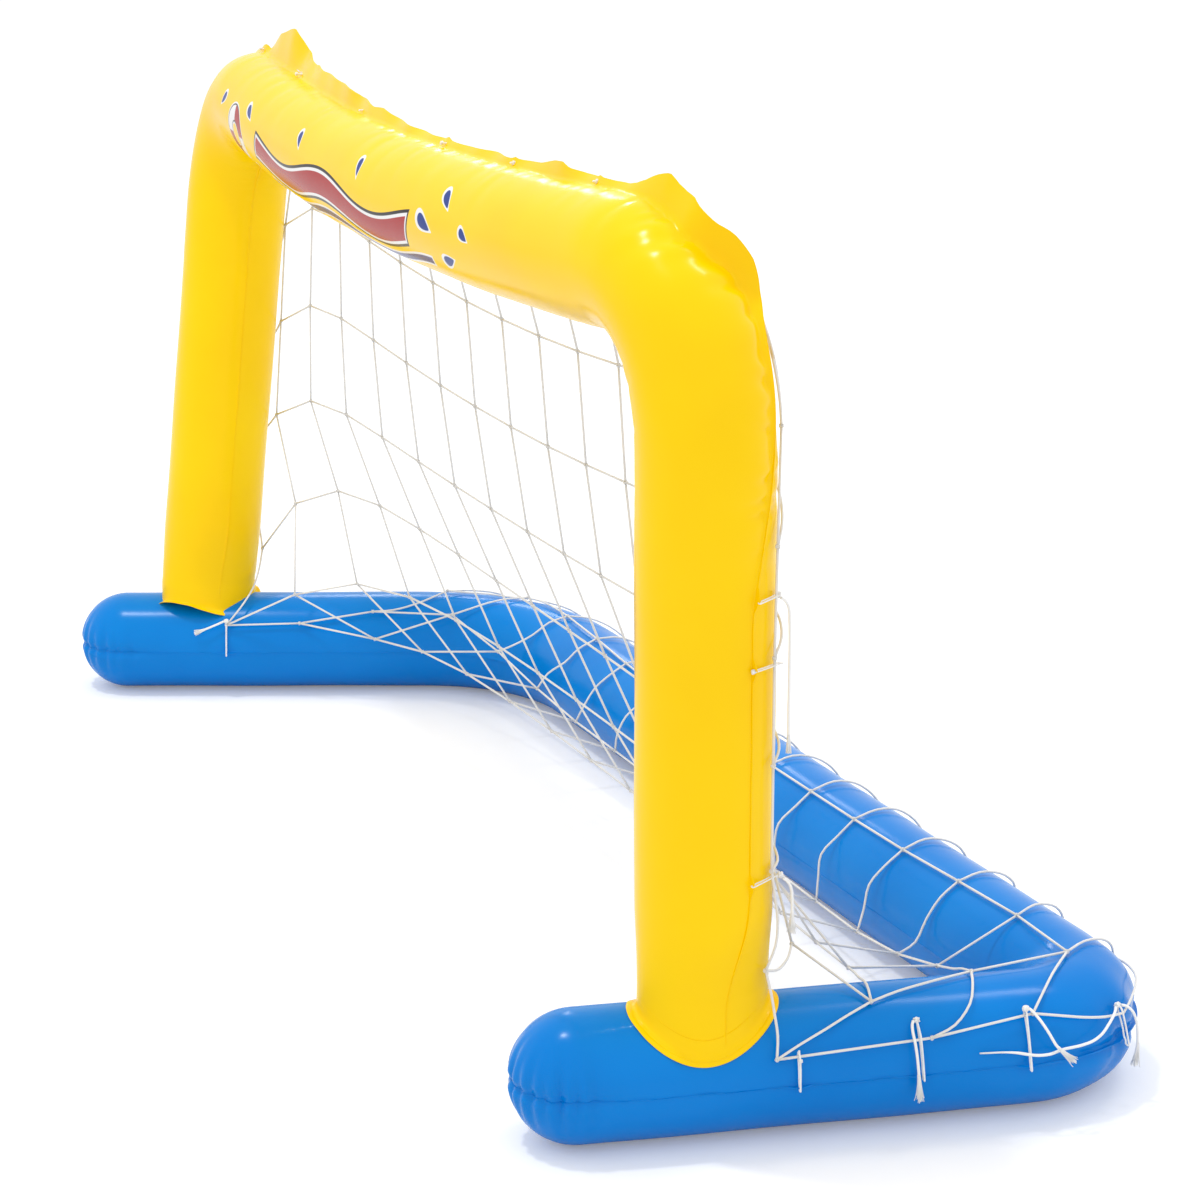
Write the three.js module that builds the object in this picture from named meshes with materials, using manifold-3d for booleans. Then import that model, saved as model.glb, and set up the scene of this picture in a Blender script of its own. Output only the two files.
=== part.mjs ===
import * as THREE from 'three';
import Module from 'manifold-3d';

// Inflatable water polo goal: a yellow arch tube on a blue U-shaped base tube, with a knotted net.
// Lengths are in mm. The posts stand on the line y = 0, the mouth faces -Y, and the floor is z = 0.

const wasm = await Module();
wasm.setup();

// Film and welds
const film = 0.5;
const weldGap = 0.3;
const clearance = 0.3;
const cutOverrun = 30;
const facetsPerSheet = 9;

// Arch tube
const archRadius = 55;
const armSpan = 1275;
const footOutset = 5;
const crossbarSpan = 1292;
const crossbarHeight = 695;
const archInsideBend = 75;
const crossbarSag = 25;
const crossbarBow = 31;
const rightPostLean = -5;
const leftPostLean = 64;
const footStraight = 66;
const footBlend = 80;
const footWidthShare = 0.76;
const footRise = 8;
const archFin = 12;
const postFin = 7;
const footFin = 1;
const archInsideFin = 3;

// Base tube
const baseRadius = 55;
const backBarDistance = 343.5;
const rightArmReach = 99;
const leftArmReach = 88;
const rightArmSplay = 78;
const leftArmSplay = -152;
const rightInsideBend = 9;
const leftInsideBend = 148;
const baseFin = 6;
const baseInsideFin = 6;

// Post collars
const collarFilm = 1;
const collarReachSide = 5;
const collarReachFront = 13;

// Net
const meshesAcross = 15;
const meshesDown = 10;
const meshWidth = 92;
const meshHeight = 106;
const netCord = 2.2;
const netStandoff = 1.7;
const stepsPerMesh = 4;
const relaxPasses = 2400;
const netSetBackShare = 0.42;
const edgeSlackShare = 1.02;
const edgeOnPostDegrees = 35;
const edgeBehindFootDegrees = 100;
const edgeOnArmDegrees = [24, 30, 42, 24];
const edgeOnBarDegrees = 20;
const edgeInsideArmDegrees = 32;
const edgeFromSeam = 7;
const rowCountToFoot = 7;
const rowCountToLeftFoot = 6;
const footRowOnArm = 48;
const footRowInsideArm = 24;
const cornerRowOnArm = 318;
const armRowShares = [0, 0.47, 0.79, 1];
const apronHeightShares = [0.92, 0.84, 0.88];
const apronWidthShare = 0.985;
const panelGap = 0.5;

// Ties and their free ends
const tieCord = 1.8;
const eyeletRadius = 1.8;
const eyeletFromFinTip = 3.2;
const tieKnotRadius = 2.6;
const tailCord = 2.4;

// Inflation valves
const valveBore = 4.2;
const valveStemWall = 1.6;
const valveStemOut = 10;
const valveStemIn = 11;
const valveRim = 1.6;
const valveRimReach = 1.6;
const valveFlangeFilm = 1;
const valveFlangeReach = 8;
const valvePlugDepth = 7;
const valveTabReach = 6;
const valveFlapFilm = 0.8;
const archValveHeight = 300;
const archValveFacet = 7;
const baseValveBehindPost = 135;
const baseValveFacet = 1;

// Colours and surface finish
const yellowFilm = new THREE.MeshStandardMaterial({ color: 0xffd400, roughness: 0.28, metalness: 0 });
const blueFilm = new THREE.MeshStandardMaterial({ color: 0x0878d4, roughness: 0.28, metalness: 0 });
const whiteCord = new THREE.MeshStandardMaterial({ color: 0xf4f4f2, roughness: 0.85, metalness: 0 });
const clearVinyl = new THREE.MeshStandardMaterial({ color: 0xe8eaec, roughness: 0.35, metalness: 0 });

// Values that follow from the sizes
const toRadians = Math.PI / 180;
const facetAngle = Math.PI / facetsPerSheet;
const baseAxisHeight = baseRadius * Math.cos(facetAngle / 2);
const archBend = archRadius + archInsideBend;
const rightBend = baseRadius + rightInsideBend;
const leftBend = baseRadius + leftInsideBend;
const cordHalf = netCord / 2;
const knotHalfDiagonal = cordHalf * Math.sqrt(3);
const rightFoot = new THREE.Vector3(armSpan / 2 + footOutset, 0, baseAxisHeight);
const leftFoot = new THREE.Vector3(-armSpan / 2 - footOutset, 0, baseAxisHeight);
const rightSeat = new THREE.Vector3(armSpan / 2, 0, baseAxisHeight);
const leftSeat = new THREE.Vector3(-armSpan / 2, 0, baseAxisHeight);

const goal = new THREE.Group();

function addPiece(name, geometry, material) {
  const piece = new THREE.Mesh(geometry, material);
  piece.name = name;
  goal.add(piece);
  return piece;
}

// A closed mesh from points and triangles, turned to face outwards
function closedGeometry(points, triangles) {
  let volume = 0;
  for (const [i, j, k] of triangles) {
    volume += points[i].dot(new THREE.Vector3().crossVectors(points[j], points[k]));
  }
  const ordered = volume > 0 ? triangles : triangles.map(([i, j, k]) => [i, k, j]);
  const geometry = new THREE.BufferGeometry();
  const places = points.flatMap((p) => p.toArray());
  geometry.setAttribute('position', new THREE.Float32BufferAttribute(places, 3));
  geometry.setIndex(ordered.flat());
  return geometry;
}

// Points that round to the same grain of a millimetre are one point
const grainsPerMm = 10000;
const placeKey = (p) => p.toArray().map((value) => Math.round(value * grainsPerMm)).join();

// Joins equal points, so that a three.js geometry can be cut
function weld(geometry) {
  const source = geometry.index ? geometry.toNonIndexed() : geometry;
  const place = source.getAttribute('position');
  const seen = new Map();
  const points = [];
  const corners = [];
  for (let i = 0; i < place.count; i += 1) {
    const p = new THREE.Vector3().fromBufferAttribute(place, i);
    const key = placeKey(p);
    if (!seen.has(key)) {
      seen.set(key, points.length);
      points.push(p);
    }
    corners.push(seen.get(key));
  }
  const triangles = [];
  for (let i = 0; i < corners.length; i += 3) {
    const [a, b, c] = corners.slice(i, i + 3);
    if (a !== b && b !== c && c !== a) triangles.push([a, b, c]);
  }
  return closedGeometry(points, triangles);
}

function toSolid(geometry) {
  return new wasm.Manifold(new wasm.Mesh({
    numProp: 3,
    vertProperties: new Float32Array(geometry.getAttribute('position').array),
    triVerts: new Uint32Array(geometry.index.array),
  }));
}

function toGeometry(solid) {
  const mesh = solid.getMesh();
  const geometry = new THREE.BufferGeometry();
  geometry.setAttribute('position', new THREE.BufferAttribute(new Float32Array(mesh.vertProperties), 3));
  geometry.setIndex(new THREE.BufferAttribute(new Uint32Array(mesh.triVerts), 1));
  return geometry;
}

// Rings of equal length joined side by side, with the first and last ring capped
function skinRings(rings, outline) {
  const count = rings[0].length;
  const points = rings.flat();
  const triangles = [];
  for (let r = 0; r < rings.length - 1; r += 1) {
    for (let k = 0; k < count; k += 1) {
      const a = r * count + k;
      const b = r * count + (k + 1) % count;
      triangles.push([a, b, b + count], [a, b + count, a + count]);
    }
  }
  const last = (rings.length - 1) * count;
  const turnsBack = THREE.ShapeUtils.isClockWise(outline);
  for (const [i, j, k] of THREE.ShapeUtils.triangulateShape([...outline], [])) {
    const [a, c] = turnsBack ? [k, i] : [i, k];
    triangles.push([c, j, a], [last + a, last + j, last + c]);
  }
  return closedGeometry(points, triangles);
}

// Corner points joined by straight runs and arcs; each arc touches both of its runs
function roundedPath(corners, bends, stepsPerArc) {
  const points = [corners[0].clone()];
  for (let k = 1; k < corners.length - 1; k += 1) {
    const arrive = corners[k].clone().sub(corners[k - 1]).normalize();
    const leave = corners[k + 1].clone().sub(corners[k]).normalize();
    const turn = arrive.angleTo(leave);
    const bend = bends[k - 1];
    if (bend > 0) {
      const reach = bend * Math.tan(turn / 2);
      const start = corners[k].clone().addScaledVector(arrive, -reach);
      const inward = leave.clone().addScaledVector(arrive, -leave.dot(arrive)).normalize();
      for (let s = 0; s <= stepsPerArc; s += 1) {
        const angle = turn * s / stepsPerArc;
        points.push(start.clone()
          .addScaledVector(arrive, bend * Math.sin(angle))
          .addScaledVector(inward, bend * (1 - Math.cos(angle))));
      }
    } else {
      points.push(corners[k].clone());
    }
  }
  points.push(corners[corners.length - 1].clone());
  return points;
}

// Stations along a tube: its middle, its direction, the way out to the seam (out) and across it (side)
function stationsAlong(points, sideways) {
  return points.map((middle, k) => {
    const before = points[Math.max(k - 1, 0)];
    const after = points[Math.min(k + 1, points.length - 1)];
    const back = middle.clone().sub(before).normalize();
    const ahead = after.clone().sub(middle).normalize();
    const along = back.add(ahead).normalize();
    const side = sideways.clone().addScaledVector(along, -sideways.dot(along)).normalize();
    const out = side.clone().cross(along).normalize();
    return { middle, along, side, out };
  });
}

function placeAt(station, outward, sideways, forward = 0) {
  return station.middle.clone()
    .addScaledVector(station.out, outward)
    .addScaledVector(station.side, sideways)
    .addScaledVector(station.along, forward);
}

// Arch path, from the right foot over the crossbar to the left foot
const archStepsPerArc = 6;
const crossbarSteps = 8;
function archPath() {
  const footBottom = baseAxisHeight + footRise;
  const footTop = baseAxisHeight + footStraight;
  const rightTop = new THREE.Vector3(crossbarSpan / 2, rightPostLean, crossbarHeight);
  const leftTop = new THREE.Vector3(-crossbarSpan / 2, leftPostLean, crossbarHeight);
  const rightFootTop = rightFoot.clone().setZ(footTop);
  const leftFootTop = leftFoot.clone().setZ(footTop);
  const blendAt = (foot, top) => foot.clone().lerp(top, footBlend / foot.distanceTo(top));
  const corners = [
    rightFoot.clone().setZ(footBottom),
    rightFootTop,
    blendAt(rightFootTop, rightTop),
    rightTop,
    leftTop,
    blendAt(leftFootTop, leftTop),
    leftFootTop,
    leftFoot.clone().setZ(footBottom),
  ];
  const plain = roundedPath(corners, [0, 0, archBend, archBend, 0, 0], archStepsPerArc);
  const firstOnBar = 3 + archStepsPerArc;
  const path = plain.slice(0, firstOnBar + 1);
  for (let k = 1; k < crossbarSteps; k += 1) {
    path.push(plain[firstOnBar].clone().lerp(plain[firstOnBar + 1], k / crossbarSteps));
  }
  path.push(...plain.slice(firstOnBar + 1));
  for (const point of path) {
    const across = point.x / (crossbarSpan / 2);
    const high = THREE.MathUtils.clamp((point.z - crossbarHeight + archBend) / archBend, 0, 1);
    const slack = high * Math.max(1 - across * across, 0);
    point.z -= crossbarSag * slack;
    point.y -= crossbarBow * slack;
  }
  return path;
}

// Base path, from the right front end round the back to the left front end
function basePath() {
  const rightSlope = rightArmSplay / backBarDistance;
  const leftSlope = -leftArmSplay / backBarDistance;
  const corners = [
    new THREE.Vector3(rightSeat.x - rightSlope * rightArmReach, -rightArmReach, baseAxisHeight),
    new THREE.Vector3(rightSeat.x + rightArmSplay, backBarDistance, baseAxisHeight),
    new THREE.Vector3(leftSeat.x - leftArmSplay, backBarDistance, baseAxisHeight),
    new THREE.Vector3(leftSeat.x - leftSlope * leftArmReach, -leftArmReach, baseAxisHeight),
  ];
  return roundedPath(corners, [rightBend, leftBend], archStepsPerArc);
}

const archStations = stationsAlong(archPath(), new THREE.Vector3(0, 1, 0));
const baseStations = stationsAlong(basePath(), new THREE.Vector3(0, 0, -1));
const lastArch = archStations.length - 1;
const lastBase = baseStations.length - 1;

// Width of the outer fin and of the tube along the arch
archStations.forEach((station) => {
  const height = station.middle.z - baseAxisHeight - footStraight;
  const rise = THREE.MathUtils.smoothstep(height, 0, footBlend);
  const barLow = crossbarHeight - crossbarSag;
  const top = THREE.MathUtils.smoothstep(station.middle.z, crossbarHeight - archBend, barLow);
  station.widthShare = THREE.MathUtils.lerp(footWidthShare, 1, rise);
  station.fin = THREE.MathUtils.lerp(THREE.MathUtils.lerp(footFin, postFin, rise), archFin, top);
  station.insideFin = THREE.MathUtils.lerp(footFin, archInsideFin, rise);
});

// One half of a tube: a C-shaped film with a flat weld fin on each edge
function halfOutline(radius, sign, fin, insideFin) {
  const gap = weldGap / 2;
  const arc = (r, offset) => {
    const first = Math.asin(offset / r);
    const angles = [first];
    for (let k = 1; k < facetsPerSheet; k += 1) angles.push(k * facetAngle);
    angles.push(Math.PI - first);
    return angles.map((angle) => new THREE.Vector2(r * Math.cos(angle), sign * r * Math.sin(angle)));
  };
  return [
    new THREE.Vector2(radius + fin, sign * (gap + film)),
    ...arc(radius, gap + film),
    new THREE.Vector2(-radius - insideFin, sign * (gap + film)),
    new THREE.Vector2(-radius - insideFin, sign * gap),
    ...arc(radius - film, gap).reverse(),
    new THREE.Vector2(radius + fin, sign * gap),
  ];
}

function archSheet(sign) {
  const rings = archStations.map((station) => halfOutline(archRadius, sign, station.fin, station.insideFin)
    .map((point) => placeAt(station, point.x * station.widthShare, point.y)));
  return skinRings(rings, halfOutline(archRadius, sign, archFin, archInsideFin));
}

// The base ends round off; the fins follow the rounding in their own plane
const endSteps = 5;
const endGapShare = 0.03;
function baseSheet(sign) {
  const rings = [];
  const endRing = (station, angle, way) => {
    const shrink = Math.cos(angle);
    const push = Math.sin(angle);
    const small = halfOutline(baseRadius * shrink, sign, baseFin * shrink, baseInsideFin * shrink);
    return small.map((point) => {
      const onFin = Math.abs(point.x) > baseRadius * shrink;
      const fin = point.x > 0 ? baseFin : baseInsideFin;
      return placeAt(station, point.x, point.y, way * push * (baseRadius + (onFin ? fin : 0)));
    });
  };
  const endAngle = Math.acos(endGapShare);
  const outline = halfOutline(baseRadius, sign, baseFin, baseInsideFin);
  for (let k = endSteps; k >= 1; k -= 1) {
    rings.push(endRing(baseStations[0], endAngle * k / endSteps, -1));
  }
  for (const station of baseStations) {
    rings.push(outline.map((point) => placeAt(station, point.x, point.y)));
  }
  for (let k = 1; k <= endSteps; k += 1) {
    rings.push(endRing(baseStations[lastBase], endAngle * k / endSteps, 1));
  }
  return skinRings(rings, outline);
}

// A straight full tube along the arm under a foot, used to cut what stands on the base
function armEnvelope(seat, station, radius) {
  const count = 2 * facetsPerSheet;
  const reach = archRadius + collarReachFront + cutOverrun;
  const outline = [];
  for (let k = 0; k < count; k += 1) {
    outline.push(new THREE.Vector2(radius * Math.cos(k * facetAngle), radius * Math.sin(k * facetAngle)));
  }
  const rings = [-reach, reach].map((forward) => outline.map((point) => placeAt(
    { ...station, middle: seat },
    point.x,
    point.y,
    forward,
  )));
  return toSolid(skinRings(rings, outline));
}

const rightArmStation = baseStations[0];
const leftArmStation = baseStations[lastBase];

// A straight round pin between two points, used for eyelets and bores
function roundPin(from, to, radius, sides) {
  const length = from.distanceTo(to);
  const pin = new THREE.CylinderGeometry(radius, radius, length, sides);
  const turn = new THREE.Quaternion().setFromUnitVectors(
    new THREE.Vector3(0, 1, 0),
    to.clone().sub(from).normalize(),
  );
  pin.applyQuaternion(turn);
  const middle = from.clone().lerp(to, 1 / 2);
  pin.translate(middle.x, middle.y, middle.z);
  return toSolid(weld(pin));
}

// An elliptical post standing on the base: the footprint of a foot or of its collar
function footColumn(foot, sideReach, frontReach, low, high) {
  const sides = 28;
  const column = new THREE.CylinderGeometry(1, 1, 1, sides);
  column.rotateX(Math.PI / 2);
  column.scale(archRadius * footWidthShare + sideReach, archRadius + frontReach, high - low);
  column.translate(foot.x, foot.y, (low + high) / 2);
  return toSolid(weld(column));
}

function collar(foot, seat, station) {
  const bed = armEnvelope(seat, station, baseRadius + clearance);
  const skin = armEnvelope(seat, station, baseRadius + clearance + collarFilm);
  const low = baseAxisHeight + footRise;
  const high = baseAxisHeight + baseRadius + cutOverrun;
  const outside = footColumn(foot, collarReachSide, collarReachFront, low, high);
  const finRoom = footFin * footWidthShare + clearance;
  const inside = footColumn(foot, finRoom, clearance, low - cutOverrun, high + cutOverrun);
  return toGeometry(skin.subtract(bed).intersect(outside).subtract(inside));
}

// Net

// A point on a tube, by its distance along the path and its angle from the outer seam
function measurePath(stations) {
  const lengths = [0];
  for (let k = 1; k < stations.length; k += 1) {
    lengths.push(lengths[k - 1] + stations[k].middle.distanceTo(stations[k - 1].middle));
  }
  return lengths;
}

function stationAt(stations, lengths, distance) {
  let k = 0;
  while (k < stations.length - 2 && lengths[k + 1] < distance) k += 1;
  const share = (distance - lengths[k]) / (lengths[k + 1] - lengths[k]);
  const mix = (name) => stations[k][name].clone().lerp(stations[k + 1][name], share);
  return {
    middle: mix('middle'),
    along: mix('along').normalize(),
    side: mix('side').normalize(),
    out: mix('out').normalize(),
    fin: THREE.MathUtils.lerp(stations[k].fin ?? baseFin, stations[k + 1].fin ?? baseFin, share),
    widthShare: THREE.MathUtils.lerp(stations[k].widthShare ?? 1, stations[k + 1].widthShare ?? 1, share),
    run: stations[k + 1].middle.clone().sub(stations[k].middle).normalize(),
  };
}

const archLengths = measurePath(archStations);
const baseLengths = measurePath(baseStations);
const onArch = (distance) => stationAt(archStations, archLengths, distance);
const onBase = (distance) => stationAt(baseStations, baseLengths, distance);
const wrapPlace = (station, radius, degrees) => placeAt(
  station,
  radius * (station.widthShare ?? 1) * Math.cos(degrees * toRadians),
  radius * Math.sin(degrees * toRadians),
);

// Distances along the two paths that the net and its ties refer to
const rightCornerStart = 3;
const middleOf = (lengths, from, to) => (lengths[from] + lengths[to]) / 2;
const archRightCorner = middleOf(archLengths, rightCornerStart, rightCornerStart + archStepsPerArc);
const leftCornerStart = lastArch - rightCornerStart - archStepsPerArc;
const archLeftCorner = middleOf(archLengths, leftCornerStart, leftCornerStart + archStepsPerArc);
const baseRightPost = rightArmReach / baseStations[0].along.y;
const baseLeftPost = baseLengths[lastBase] - leftArmReach / -baseStations[lastBase].along.y;
const baseRightCorner = baseRightPost + cornerRowOnArm;
const baseCornerStart = 2 + archStepsPerArc;
const baseLeftCorner = middleOf(baseLengths, baseCornerStart, baseCornerStart + archStepsPerArc);

const cordOnTube = knotHalfDiagonal + netStandoff;
const edgeOnTube = cordOnTube + tieCord - clearance;
const headOut = archRadius + archFin - eyeletFromFinTip;
const rowsBelow = meshesDown - rowCountToFoot;

// Places of the net's edge, by row and column counted in meshes
function headPlace(column) {
  const distance = THREE.MathUtils.lerp(archLeftCorner, archRightCorner, column / meshesAcross);
  return placeAt(onArch(distance), headOut, edgeFromSeam);
}

function rightEdgePlace(row) {
  if (row < rowCountToFoot) {
    const station = onArch(THREE.MathUtils.lerp(archRightCorner, 0, row / rowCountToFoot));
    const turn = Math.min(row, 1);
    const degrees = edgeOnPostDegrees * turn;
    const head = placeAt(station, headOut, edgeFromSeam);
    return head.lerp(wrapPlace(station, archRadius + edgeOnTube, degrees), turn);
  }
  const whole = Math.min(Math.floor(row - rowCountToFoot), rowsBelow - 1);
  const part = row - rowCountToFoot - whole;
  const share = THREE.MathUtils.lerp(armRowShares[whole], armRowShares[whole + 1], part);
  const distance = THREE.MathUtils.lerp(baseRightPost + footRowOnArm, baseRightCorner, share);
  const degrees = THREE.MathUtils.lerp(edgeOnArmDegrees[whole], edgeOnArmDegrees[whole + 1], part);
  return wrapPlace(onBase(distance), baseRadius + edgeOnTube, -degrees);
}

const edgePassRows = 2;
function leftEdgePlace(row) {
  if (row < rowCountToLeftFoot) {
    const partWay = row / rowCountToLeftFoot;
    const station = onArch(THREE.MathUtils.lerp(archLeftCorner, archLengths[lastArch], partWay));
    const turn = Math.min(row, 1);
    const pass = THREE.MathUtils.clamp(row - rowCountToLeftFoot + edgePassRows, 0, 1);
    const degrees = THREE.MathUtils.lerp(edgeOnPostDegrees * turn, edgeBehindFootDegrees, pass);
    const head = placeAt(station, headOut, edgeFromSeam);
    return head.lerp(wrapPlace(station, archRadius + edgeOnTube, degrees), turn);
  }
  const share = (row - rowCountToLeftFoot) / (meshesDown - rowCountToLeftFoot);
  const distance = THREE.MathUtils.lerp(baseLeftPost - footRowInsideArm, baseLeftCorner, share);
  const degrees = THREE.MathUtils.lerp(180 - edgeInsideArmDegrees, edgeOnBarDegrees, share ** 3);
  return wrapPlace(onBase(distance), baseRadius + edgeOnTube, -degrees);
}

function rearEdgePlace(column) {
  const share = column / meshesAcross;
  const distance = THREE.MathUtils.lerp(baseLeftCorner, baseRightCorner, share);
  const degrees = share > 1 - 1 / meshesAcross ? edgeOnArmDegrees[rowsBelow] : edgeOnBarDegrees;
  return wrapPlace(onBase(distance), baseRadius + edgeOnTube, -degrees);
}

// The net hangs by relaxation: cord steps may go slack but not stretch, and rest on the tubes and floor
const stepsAcross = meshesAcross * stepsPerMesh;
const stepsDown = meshesDown * stepsPerMesh;
const widthStep = meshWidth / stepsPerMesh;
const heightStep = meshHeight / stepsPerMesh;
const slackLimitShare = 0.5;
const fallShare = 0.0006;
const settleShare = 0.0001;
const fallPassShare = 2 / 3;
const dampingShare = 0.97;
const finZone = heightStep;
const collarZone = archRadius + collarReachFront + heightStep;

function pushOutOfTube(p, stations, radius, fin, insideFin) {
  let best = Infinity;
  let nearest = 0;
  let nearestShare = 0;
  for (let k = 0; k < stations.length - 1; k += 1) {
    const a = stations[k].middle;
    const b = stations[k + 1].middle;
    const dx = b.x - a.x;
    const dy = b.y - a.y;
    const dz = b.z - a.z;
    const t = ((p[0] - a.x) * dx + (p[1] - a.y) * dy + (p[2] - a.z) * dz) / (dx * dx + dy * dy + dz * dz);
    const share = t < 0 ? 0 : t > 1 ? 1 : t;
    const ex = p[0] - a.x - share * dx;
    const ey = p[1] - a.y - share * dy;
    const ez = p[2] - a.z - share * dz;
    const d = ex * ex + ey * ey + ez * ez;
    if (d < best) {
      best = d;
      nearest = k;
      nearestShare = share;
    }
  }
  const widest = radius + Math.max(fin, insideFin);
  if (best > widest * widest) return;
  const low = stations[nearest];
  const high = stations[nearest + 1];
  const blend = (name, axis) => low[name][axis] * (1 - nearestShare) + high[name][axis] * nearestShare;
  const ox = blend('out', 'x');
  const oy = blend('out', 'y');
  const oz = blend('out', 'z');
  const sx = blend('side', 'x');
  const sy = blend('side', 'y');
  const sz = blend('side', 'z');
  const ex = p[0] - blend('middle', 'x');
  const ey = p[1] - blend('middle', 'y');
  const ez = p[2] - blend('middle', 'z');
  const outward = ex * ox + ey * oy + ez * oz;
  const sideways = ex * sx + ey * sy + ez * sz;
  const reach = Math.hypot(outward, sideways);
  if (reach < radius) {
    const grow = radius / Math.max(reach, film) - 1;
    p[0] += (ox * outward + sx * sideways) * grow;
    p[1] += (oy * outward + sy * sideways) * grow;
    p[2] += (oz * outward + sz * sideways) * grow;
  }
  const finReach = radius + (outward > 0 ? fin : insideFin);
  const zone = outward > 0 ? cordOnTube : finZone;
  if (Math.abs(sideways) < zone && Math.abs(outward) < finReach && Math.abs(outward) > radius / 2) {
    const shift = Math.sign(outward) * finReach - outward;
    const share = 1 - Math.abs(sideways) / zone;
    const moved = share > 1 / 2 ? shift : shift * 2 * share;
    p[0] += ox * moved;
    p[1] += oy * moved;
    p[2] += oz * moved;
  }
}

const netFloor = knotHalfDiagonal + netStandoff;
const feet = [rightFoot, leftFoot];

// Moves a point of the net off the tubes, the collars and the floor
function settleOff(p, ease) {
  const nearFoot = feet.some((foot) => Math.hypot(p[0] - foot.x, p[1] - foot.y) < collarZone);
  const lift = cordOnTube - ease;
  const collarLift = nearFoot ? collarFilm + clearance : 0;
  pushOutOfTube(p, archStations, archRadius + lift, archFin, archInsideFin);
  pushOutOfTube(p, baseStations, baseRadius + lift + collarLift, baseFin, baseInsideFin);
  p[2] = Math.max(p[2], netFloor - ease);
}

// Rest lengths of the cord steps; the cords of the net's edge are drawn nearly straight
function rowRest(i, j) {
  const inApron = j > stepsDown - apronHeightShares.length * stepsPerMesh;
  if (j > 0 && j < stepsDown) return widthStep * (inApron ? apronWidthShare : 1);
  const column = Math.ceil(i / stepsPerMesh);
  const place = j === 0 ? headPlace : rearEdgePlace;
  return Math.min(widthStep, edgeSlackShare * place(column - 1).distanceTo(place(column)) / stepsPerMesh);
}

function columnRest(i, j) {
  const row = Math.ceil(j / stepsPerMesh);
  if (i > 0 && i < stepsAcross) return heightStep * (apronHeightShares[meshesDown - row] ?? 1);
  const place = i === 0 ? leftEdgePlace : rightEdgePlace;
  return Math.min(heightStep, edgeSlackShare * place(row - 1).distanceTo(place(row)) / stepsPerMesh);
}

function relaxNet() {
  const index = (i, j) => i * (stepsDown + 1) + j;
  const onCord = (i, j) => i % stepsPerMesh === 0 || j % stepsPerMesh === 0;
  const places = new Map();
  const corner = {
    headLeft: headPlace(0),
    headRight: headPlace(meshesAcross),
    rearLeft: rearEdgePlace(0),
    rearRight: rearEdgePlace(meshesAcross),
  };
  const fixed = new Set();
  const links = [];
  for (let i = 0; i <= stepsAcross; i += 1) {
    for (let j = 0; j <= stepsDown; j += 1) {
      if (!onCord(i, j)) continue;
      const u = i / stepsAcross;
      const v = j / stepsDown;
      const place = new THREE.Vector3()
        .addScaledVector(headPlace(i / stepsPerMesh), 1 - v)
        .addScaledVector(rearEdgePlace(i / stepsPerMesh), v)
        .addScaledVector(leftEdgePlace(j / stepsPerMesh), 1 - u)
        .addScaledVector(rightEdgePlace(j / stepsPerMesh), u)
        .addScaledVector(corner.headLeft, -(1 - u) * (1 - v))
        .addScaledVector(corner.headRight, -u * (1 - v))
        .addScaledVector(corner.rearLeft, -(1 - u) * v)
        .addScaledVector(corner.rearRight, -u * v);
      places.set(index(i, j), place.toArray());
      const onEdge = i === 0 || j === 0 || i === stepsAcross || j === stepsDown;
      if (onEdge && i % stepsPerMesh === 0 && j % stepsPerMesh === 0) fixed.add(index(i, j));
      if (i > 0 && j % stepsPerMesh === 0) links.push([index(i - 1, j), index(i, j), rowRest(i, j)]);
      if (j > 0 && i % stepsPerMesh === 0) links.push([index(i, j - 1), index(i, j), columnRest(i, j)]);
    }
  }
  const before = new Map([...places].map(([key, p]) => [key, [...p]]));
  const moving = [...places.keys()].filter((key) => !fixed.has(key));
  const pairs = links.map(([a, b, rest]) => [
    places.get(a),
    places.get(b),
    fixed.has(a) ? 0 : 1,
    fixed.has(b) ? 0 : 1,
    rest,
  ]);
  for (let pass = 0; pass < relaxPasses; pass += 1) {
    const fall = meshHeight * (pass < relaxPasses * fallPassShare ? fallShare : settleShare);
    for (const key of moving) {
      const p = places.get(key);
      const q = before.get(key);
      for (let axis = 0; axis < 3; axis += 1) {
        const speed = (p[axis] - q[axis]) * dampingShare;
        q[axis] = p[axis];
        p[axis] += speed;
      }
      p[1] += fall * netSetBackShare;
      p[2] -= fall;
    }
    for (let sweep = 0; sweep < 4; sweep += 1) {
      for (const [a, b, freeA, freeB, rest] of pairs) {
        const dx = b[0] - a[0];
        const dy = b[1] - a[1];
        const dz = b[2] - a[2];
        const length = Math.sqrt(dx * dx + dy * dy + dz * dz);
        const target = THREE.MathUtils.clamp(length, rest * slackLimitShare, rest);
        if (length === target || freeA + freeB === 0) continue;
        const pull = (length - target) / length / (freeA + freeB);
        a[0] += dx * pull * freeA;
        a[1] += dy * pull * freeA;
        a[2] += dz * pull * freeA;
        b[0] -= dx * pull * freeB;
        b[1] -= dy * pull * freeB;
        b[2] -= dz * pull * freeB;
      }
    }
    for (const key of moving) {
      settleOff(places.get(key), 0);
    }
  }
  return (i, j) => new THREE.Vector3(...places.get(index(i, j)));
}

// Cords of the net: drawn straight where they hang free, and by their steps where they lie on something
const netAt = relaxNet();
const knotAt = (i, j) => netAt(i * stepsPerMesh, j * stepsPerMesh);
const across = 0;
const down = 1;
const straightSamples = 12;

function hangsFree(a, b) {
  for (let k = 1; k < straightSamples; k += 1) {
    const p = a.clone().lerp(b, k / straightSamples).toArray();
    const moved = [...p];
    settleOff(moved, clearance);
    if (moved.some((value, axis) => value !== p[axis])) return false;
  }
  return true;
}

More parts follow.
